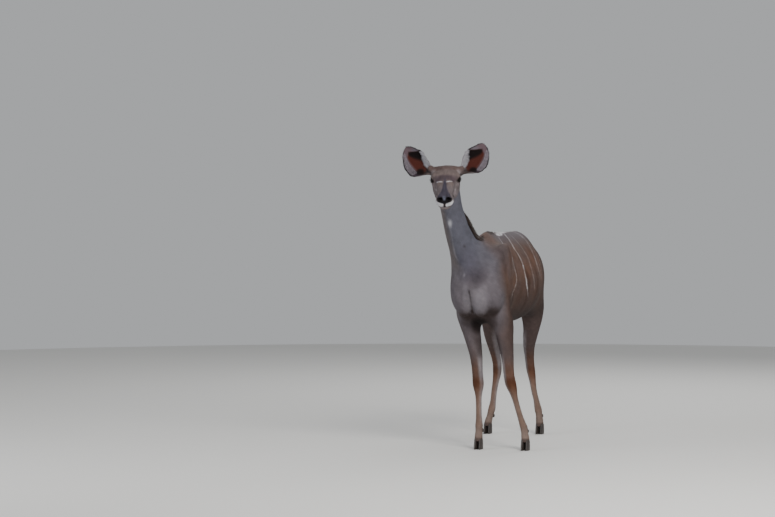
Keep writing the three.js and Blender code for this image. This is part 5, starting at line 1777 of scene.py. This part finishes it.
# %% Locks
def grow_locks(name, roots, leave, end, length, width, root_tone, tip_tone, place, steps=7):
    t = np.linspace(0, 1, steps)[None, :, None]
    leave, end = unit(leave)[:, None], unit(end)[:, None]
    line = roots[:, None] + length[:, None, None] * (leave * t + (end - leave) * t * t / 2)
    tangent = unit(leave + (end - leave) * t)
    side = unit(np.cross(leave, end + 0.001) + 1e-6)
    up = np.cross(side, tangent)
    shape = np.interp(t[0, :, 0], [0, 0.12, 0.45, 0.8, 1], [0.55, 1, 0.9, 0.5, 0.05])
    half = width[:, None, None] / 2 * shape[None, :, None]
    ring = np.stack([line - side * half, line + up * half * 0.5, line + side * half,
                     line - up * half * 0.3], 2)
    count = len(roots)
    points = ring.reshape(-1, 3)
    number = np.arange(steps * 4).reshape(steps, 4)
    after = np.roll(number, -1, 1)
    quads = np.stack([number[:-1], number[1:], after[1:], after[:-1]], -1).reshape(-1, 4)
    ends = np.array([number[0], number[-1][::-1]])
    quads = np.concatenate([quads, ends])
    first = np.arange(count)[:, None, None] * steps * 4
    faces = (first + quads).reshape(-1)
    fade = t.reshape(1, steps, 1, 1) * np.ones((count, 1, 4, 1))
    tone = root_tone[:, None, None] * (1 - fade) + tip_tone[:, None, None] * fade
    ring_uv = np.tile(np.array([[-1, 0], [0, 1], [1, 0], [0, -1]]) * 0.0015, (steps, 1))
    uv = place[:, None] + ring_uv
    a, b, c = (points[quads[0, k]] for k in range(3))
    if np.dot(np.cross(b - a, c - a), a - line[0, :2].mean(0)) < 0:
        faces = faces.reshape(-1, 4)[:, ::-1].ravel()
    obj = fast_mesh(name, frame_point(points), faces, np.full(len(faces) // 4, 4),
                    np.clip(tone, 0, 1).reshape(-1, 3), lock_material, None, uv.reshape(-1, 2))
    print(name, count, "locks")


# %% [markdown]
# No two locks have quite the same shade. Where a lock starts is found along a ray out of the
# body: a first guess moves by what the field says, step by step, until it stands on the skin.

# %% Shades and roots of the locks
RAY_STEPS = 40


def tones(colour, count, rng, spread=0.14):
    return to_light(np.array(colour, float)) * rng.normal(1, spread, (count, 1))


def foot_on_skin(start, way, reach):
    """Where rays from inside the body leave the skin."""
    t = np.full(len(start), float(reach))
    for _ in range(RAY_STEPS):
        t -= skin_field(start + way * t[:, None]) * 0.8
    return start + way * t[:, None]


print("the spine is", round(float(foot_on_skin(WITHERS - 240 * Z_AXIS, Z_AXIS[None], 200)[0, 2])),
      "mm high at the withers")

# %% [markdown]
# The mane starts between the ears, is longest in the middle of the neck, where it falls over to
# the animal's left, and ends behind the withers. Its roots are found with rays from a line
# inside the neck out to the skin.

# %% The line of the mane
# place from 0 at the poll to 1 behind the withers, and the length there
MANE = [[0, 16], [0.12, 24], [0.24, 30], [0.3, 36], [0.38, 46], [0.46, 42], [0.54, 30],
        [0.66, 24], [0.8, 18], [1, 12]]
nape_line = np.array([[-160, -676, 1560], [-156, -640, 1460], [-146, -605, 1365],
                      [-128, -565, 1265], [-98, -515, 1165], [-60, -450, 1085],
                      [-34, -370, 1030], [-20, -280, 1000], [-12, -190, 990]], float)
nape_out = unit(np.array([[0.02, 0.62, 0.8], [0.0, 0.9, 0.42], [0, 0.91, 0.4], [0, 0.9, 0.44],
                          [0, 0.85, 0.52], [0, 0.7, 0.72], [0, 0.3, 0.95], [0, 0.05, 1],
                          [0, 0, 1]]))
print("mane longest", max(row[1] for row in MANE), "mm")

# %% The mane
rng = np.random.default_rng(21)
count = 2400
s = np.where(rng.random(count) < 0.6, rng.uniform(0.24, 0.54, count), rng.random(count))
s = np.sort(s)
spots = np.linspace(0, 1, len(nape_line))
start = np.stack([np.interp(s, spots, nape_line[:, k]) for k in range(3)], 1)
out = unit(np.stack([np.interp(s, spots, nape_out[:, k]) for k in range(3)], 1))
down = unit(np.stack([np.interp(s, spots[:-1], np.diff(nape_line[:, k])) for k in range(3)], 1))
fallen = ramp(s, 0.25, 0.36) * (1 - ramp(s, 0.46, 0.58))
round_by = np.radians(rng.normal(0, 5, count) + fallen * rng.uniform(-5, 68, count))
left = unit(X_AXIS - out * out[:, :1])
outer = unit(out * np.cos(round_by)[:, None] + left * np.sin(round_by)[:, None])
roots = foot_on_skin(start, outer, 130) - outer * 2
length = np.interp(s, *np.array(MANE).T) * rng.uniform(0.75, 1.1, count)
length = length * (1 - 0.35 * np.clip(round_by / 1.5, 0, 1))
leave = outer * 0.75 + down * 0.6 + left * (fallen * 0.7)[:, None]
leave = leave + rng.normal(0, 0.1, (count, 3))
end = outer * 0.3 + down + left * (fallen * 0.45)[:, None] + rng.normal(0, 0.1, (count, 3))
grow_locks("mane", roots, leave, end, length, rng.uniform(3.5, 6.5, count),
           tones(MANE_COLOUR, count, rng), tones((54, 41, 36), count, rng), body_place(roots))

# %% [markdown]
# Behind the withers a low crest of hair follows the spine, white where the white line is widest
# and brown further back.

# %% The crest on the spine
count = 420
y = np.sort(rng.uniform(-190, 560, count))
start = np.stack([rng.normal(0, 4.5, count), y, np.full(count, 1000.0)], 1)
up = np.tile(Z_AXIS, (count, 1))
roots = foot_on_skin(start, up, 200) - up * 1.5
length = np.interp(y, [-190, -60, 100, 400, 560], [20, 18, 14, 13, 16]) * rng.uniform(
    0.7, 1.2, count)
leave = up * 0.5 + Y_AXIS + rng.normal(0, 0.14, (count, 3))
end = up * 0.06 + Y_AXIS + rng.normal(0, 0.1, (count, 3))
white = (ramp(y, -170, -110) * (1 - 0.7 * ramp(y, 30, 150)))[:, None]
pale = tones((184, 182, 184), count, rng, 0.08)
brown = tones((84, 72, 72), count, rng)
tone = brown * (1 - white) + pale * white
grow_locks("dorsal_crest", roots, leave, end, length, rng.uniform(3, 5, count), tone, tone,
           body_place(roots), 5)

# %% [markdown]
# The tail is brown above and white below, with a dark brush at its end. Its locks leave it all
# round and lie along it, longest at the end.

# %% The brush of the tail
count = 620
tail_line = np.array(TAIL, float)
s = np.sort(rng.random(count)) ** 0.8
spots = np.linspace(0, 1, len(tail_line))
core = np.stack([np.interp(s, spots, tail_line[:, k]) for k in range(4)], 1)
run = unit(np.gradient(tail_line[:, :3], axis=0))
run = unit(np.stack([np.interp(s, spots, run[:, k]) for k in range(3)], 1))
turn = rng.uniform(0, 2 * math.pi, count)
u = unit(X_AXIS - run * run[:, :1])
v = np.cross(u, run)
out = u * np.cos(turn)[:, None] + v * np.sin(turn)[:, None]
roots = core[:, :3] + out * (core[:, 3:] - 3)
length = np.interp(s, [0, 0.3, 0.55, 0.8, 1], [26, 34, 52, 70, 62]) * rng.uniform(
    0.8, 1.1, count)
TAIL_END = 742
length = np.minimum(length, roots[:, 2] - TAIL_END + 6 * rng.random(count))
leave = out * 0.55 + run
end = run + out * 0.04 + rng.normal(0, 0.05, (count, 3))
dark = ramp(s, 0.55, 0.8)[:, None]
under = ramp(-out[:, 1], 0.1, 0.6)[:, None]
light = tones((186, 180, 176), count, rng, 0.08)
brown = tones((112, 90, 80), count, rng)
black = tones((38, 30, 29), count, rng)
tone = (brown * (1 - under) + light * under) * (1 - dark) + black * dark
grow_locks("tail_brush", roots, leave, end, np.maximum(length, 10),
           rng.uniform(4, 7, count), tone, tone * 1.15, body_place(roots))

# %% [markdown]
# In each ear long pale hair fans from the inner edge over the cup, short grey hair stands on the
# border, and a dark fringe on the rim. One random number says which kind a lock is.

# %% Hair of the ears
# a lock whose number is below the first is of the fringe, above the second of the border
EAR_LOCKS, FRINGE_BELOW, BORDER_ABOVE = 1700, 0.17, 0.6


def ear_hair(sign):
    along, ear_face = ear_frame(sign)[1:3]
    count = EAR_LOCKS
    draw = rng.random(count)
    fringe, border = draw < FRINGE_BELOW, draw > BORDER_ABOVE
    s = np.where(fringe, rng.uniform(0.16, 0.97, count), rng.uniform(0.13, 0.53, count))
    s = np.where(border, rng.uniform(0.34, 0.9, count), s)
    outward_t = -0.98 + (fan_edge(s) + 0.72) * rng.random(count) ** 1.3
    outward_t = np.where(fringe, np.where(rng.random(count) < 0.5, -0.985, 0.985), outward_t)
    outward_t = np.where(border, rng.uniform(0.6, 0.93, count), outward_t)
    t = outward_t * sign
    thick = ear_thickness(s, t)
    roots = ear_point(sign, s, t, 0.2 + thick)
    toward = ear_point(sign, s, np.clip(t + 0.05 * sign, -1, 1), 0.6 + thick) - roots
    toward = unit(toward + 1e-6)
    short_hair = (fringe | border)[:, None]
    leave = np.where(short_hair, along * 0.9 + ear_face * 0.3 - toward * 0.1,
                     ear_face * 0.45 + toward * 0.45 + along * 0.75)
    end = np.where(short_hair, along + ear_face * 0.1,
                   toward * 0.6 + along * 0.9 + ear_face * 0.02)
    end = end + rng.normal(0, 0.13, (count, 3))
    length = np.where(fringe, rng.uniform(4, 7, count), rng.uniform(15, 34, count))
    length = np.where(border, rng.uniform(7, 13, count), length)
    place = np.stack([s, t], 1)
    where = bake_place(roots, np.full(count, EAR_INSIDE), place, np.full(count, sign))
    light = tones((162, 160, 166), count, rng, 0.13)
    shade = tones((44, 36, 36), count, rng, 0.1)
    pick = (fringe & ((outward_t > 0) | (s > 0.5)))[:, None]
    tone = np.where(pick, shade, light)
    tone = np.where(border[:, None], tones((122, 114, 121), count, rng, 0.2), tone)
    grow_locks(f"ear_hair_{SIDES[sign]}", roots, leave, end, length,
               rng.uniform(1.2, 2.4, count), tone * 0.8, tone, where, 5)


print(EAR_LOCKS, "locks for each ear")

# %% [markdown]
# Lashes stand on the upper lid only, a row of fine dark locks that spread forward and back.

# %% Lashes
LASHES, LID_CORNER = 34, 0.35


def lashes(sign):
    middle, look, lengthwise, upward = eye_axes(sign)
    a = np.linspace(LID_CORNER, math.pi - LID_CORNER, LASHES)
    flat = np.stack([EYE_OPENING[0] * np.cos(a), EYE_OPENING[1] * np.sin(a)
                     * (1 - 0.25 * np.abs(np.cos(a)))], 1)
    out = np.sqrt((EYE_RADIUS + 1.6) ** 2 - (flat ** 2).sum(1))
    roots = (middle + flat[:, :1] * lengthwise + flat[:, 1:] * upward + out[:, None] * look)
    leave = look + upward * 0.3 + flat[:, :1] / 40 * lengthwise
    end = look * 0.8 + upward * 0.1 + flat[:, :1] / 25 * lengthwise
    grow_locks(f"lashes_{SIDES[sign]}", roots, leave, end, np.full(LASHES, 9.0), np.ones(LASHES),
               tones((24, 18, 17), LASHES, rng), tones((24, 18, 17), LASHES, rng),
               body_place(roots), 4)


for sign in SIDES:
    ear_hair(sign)
    lashes(sign)
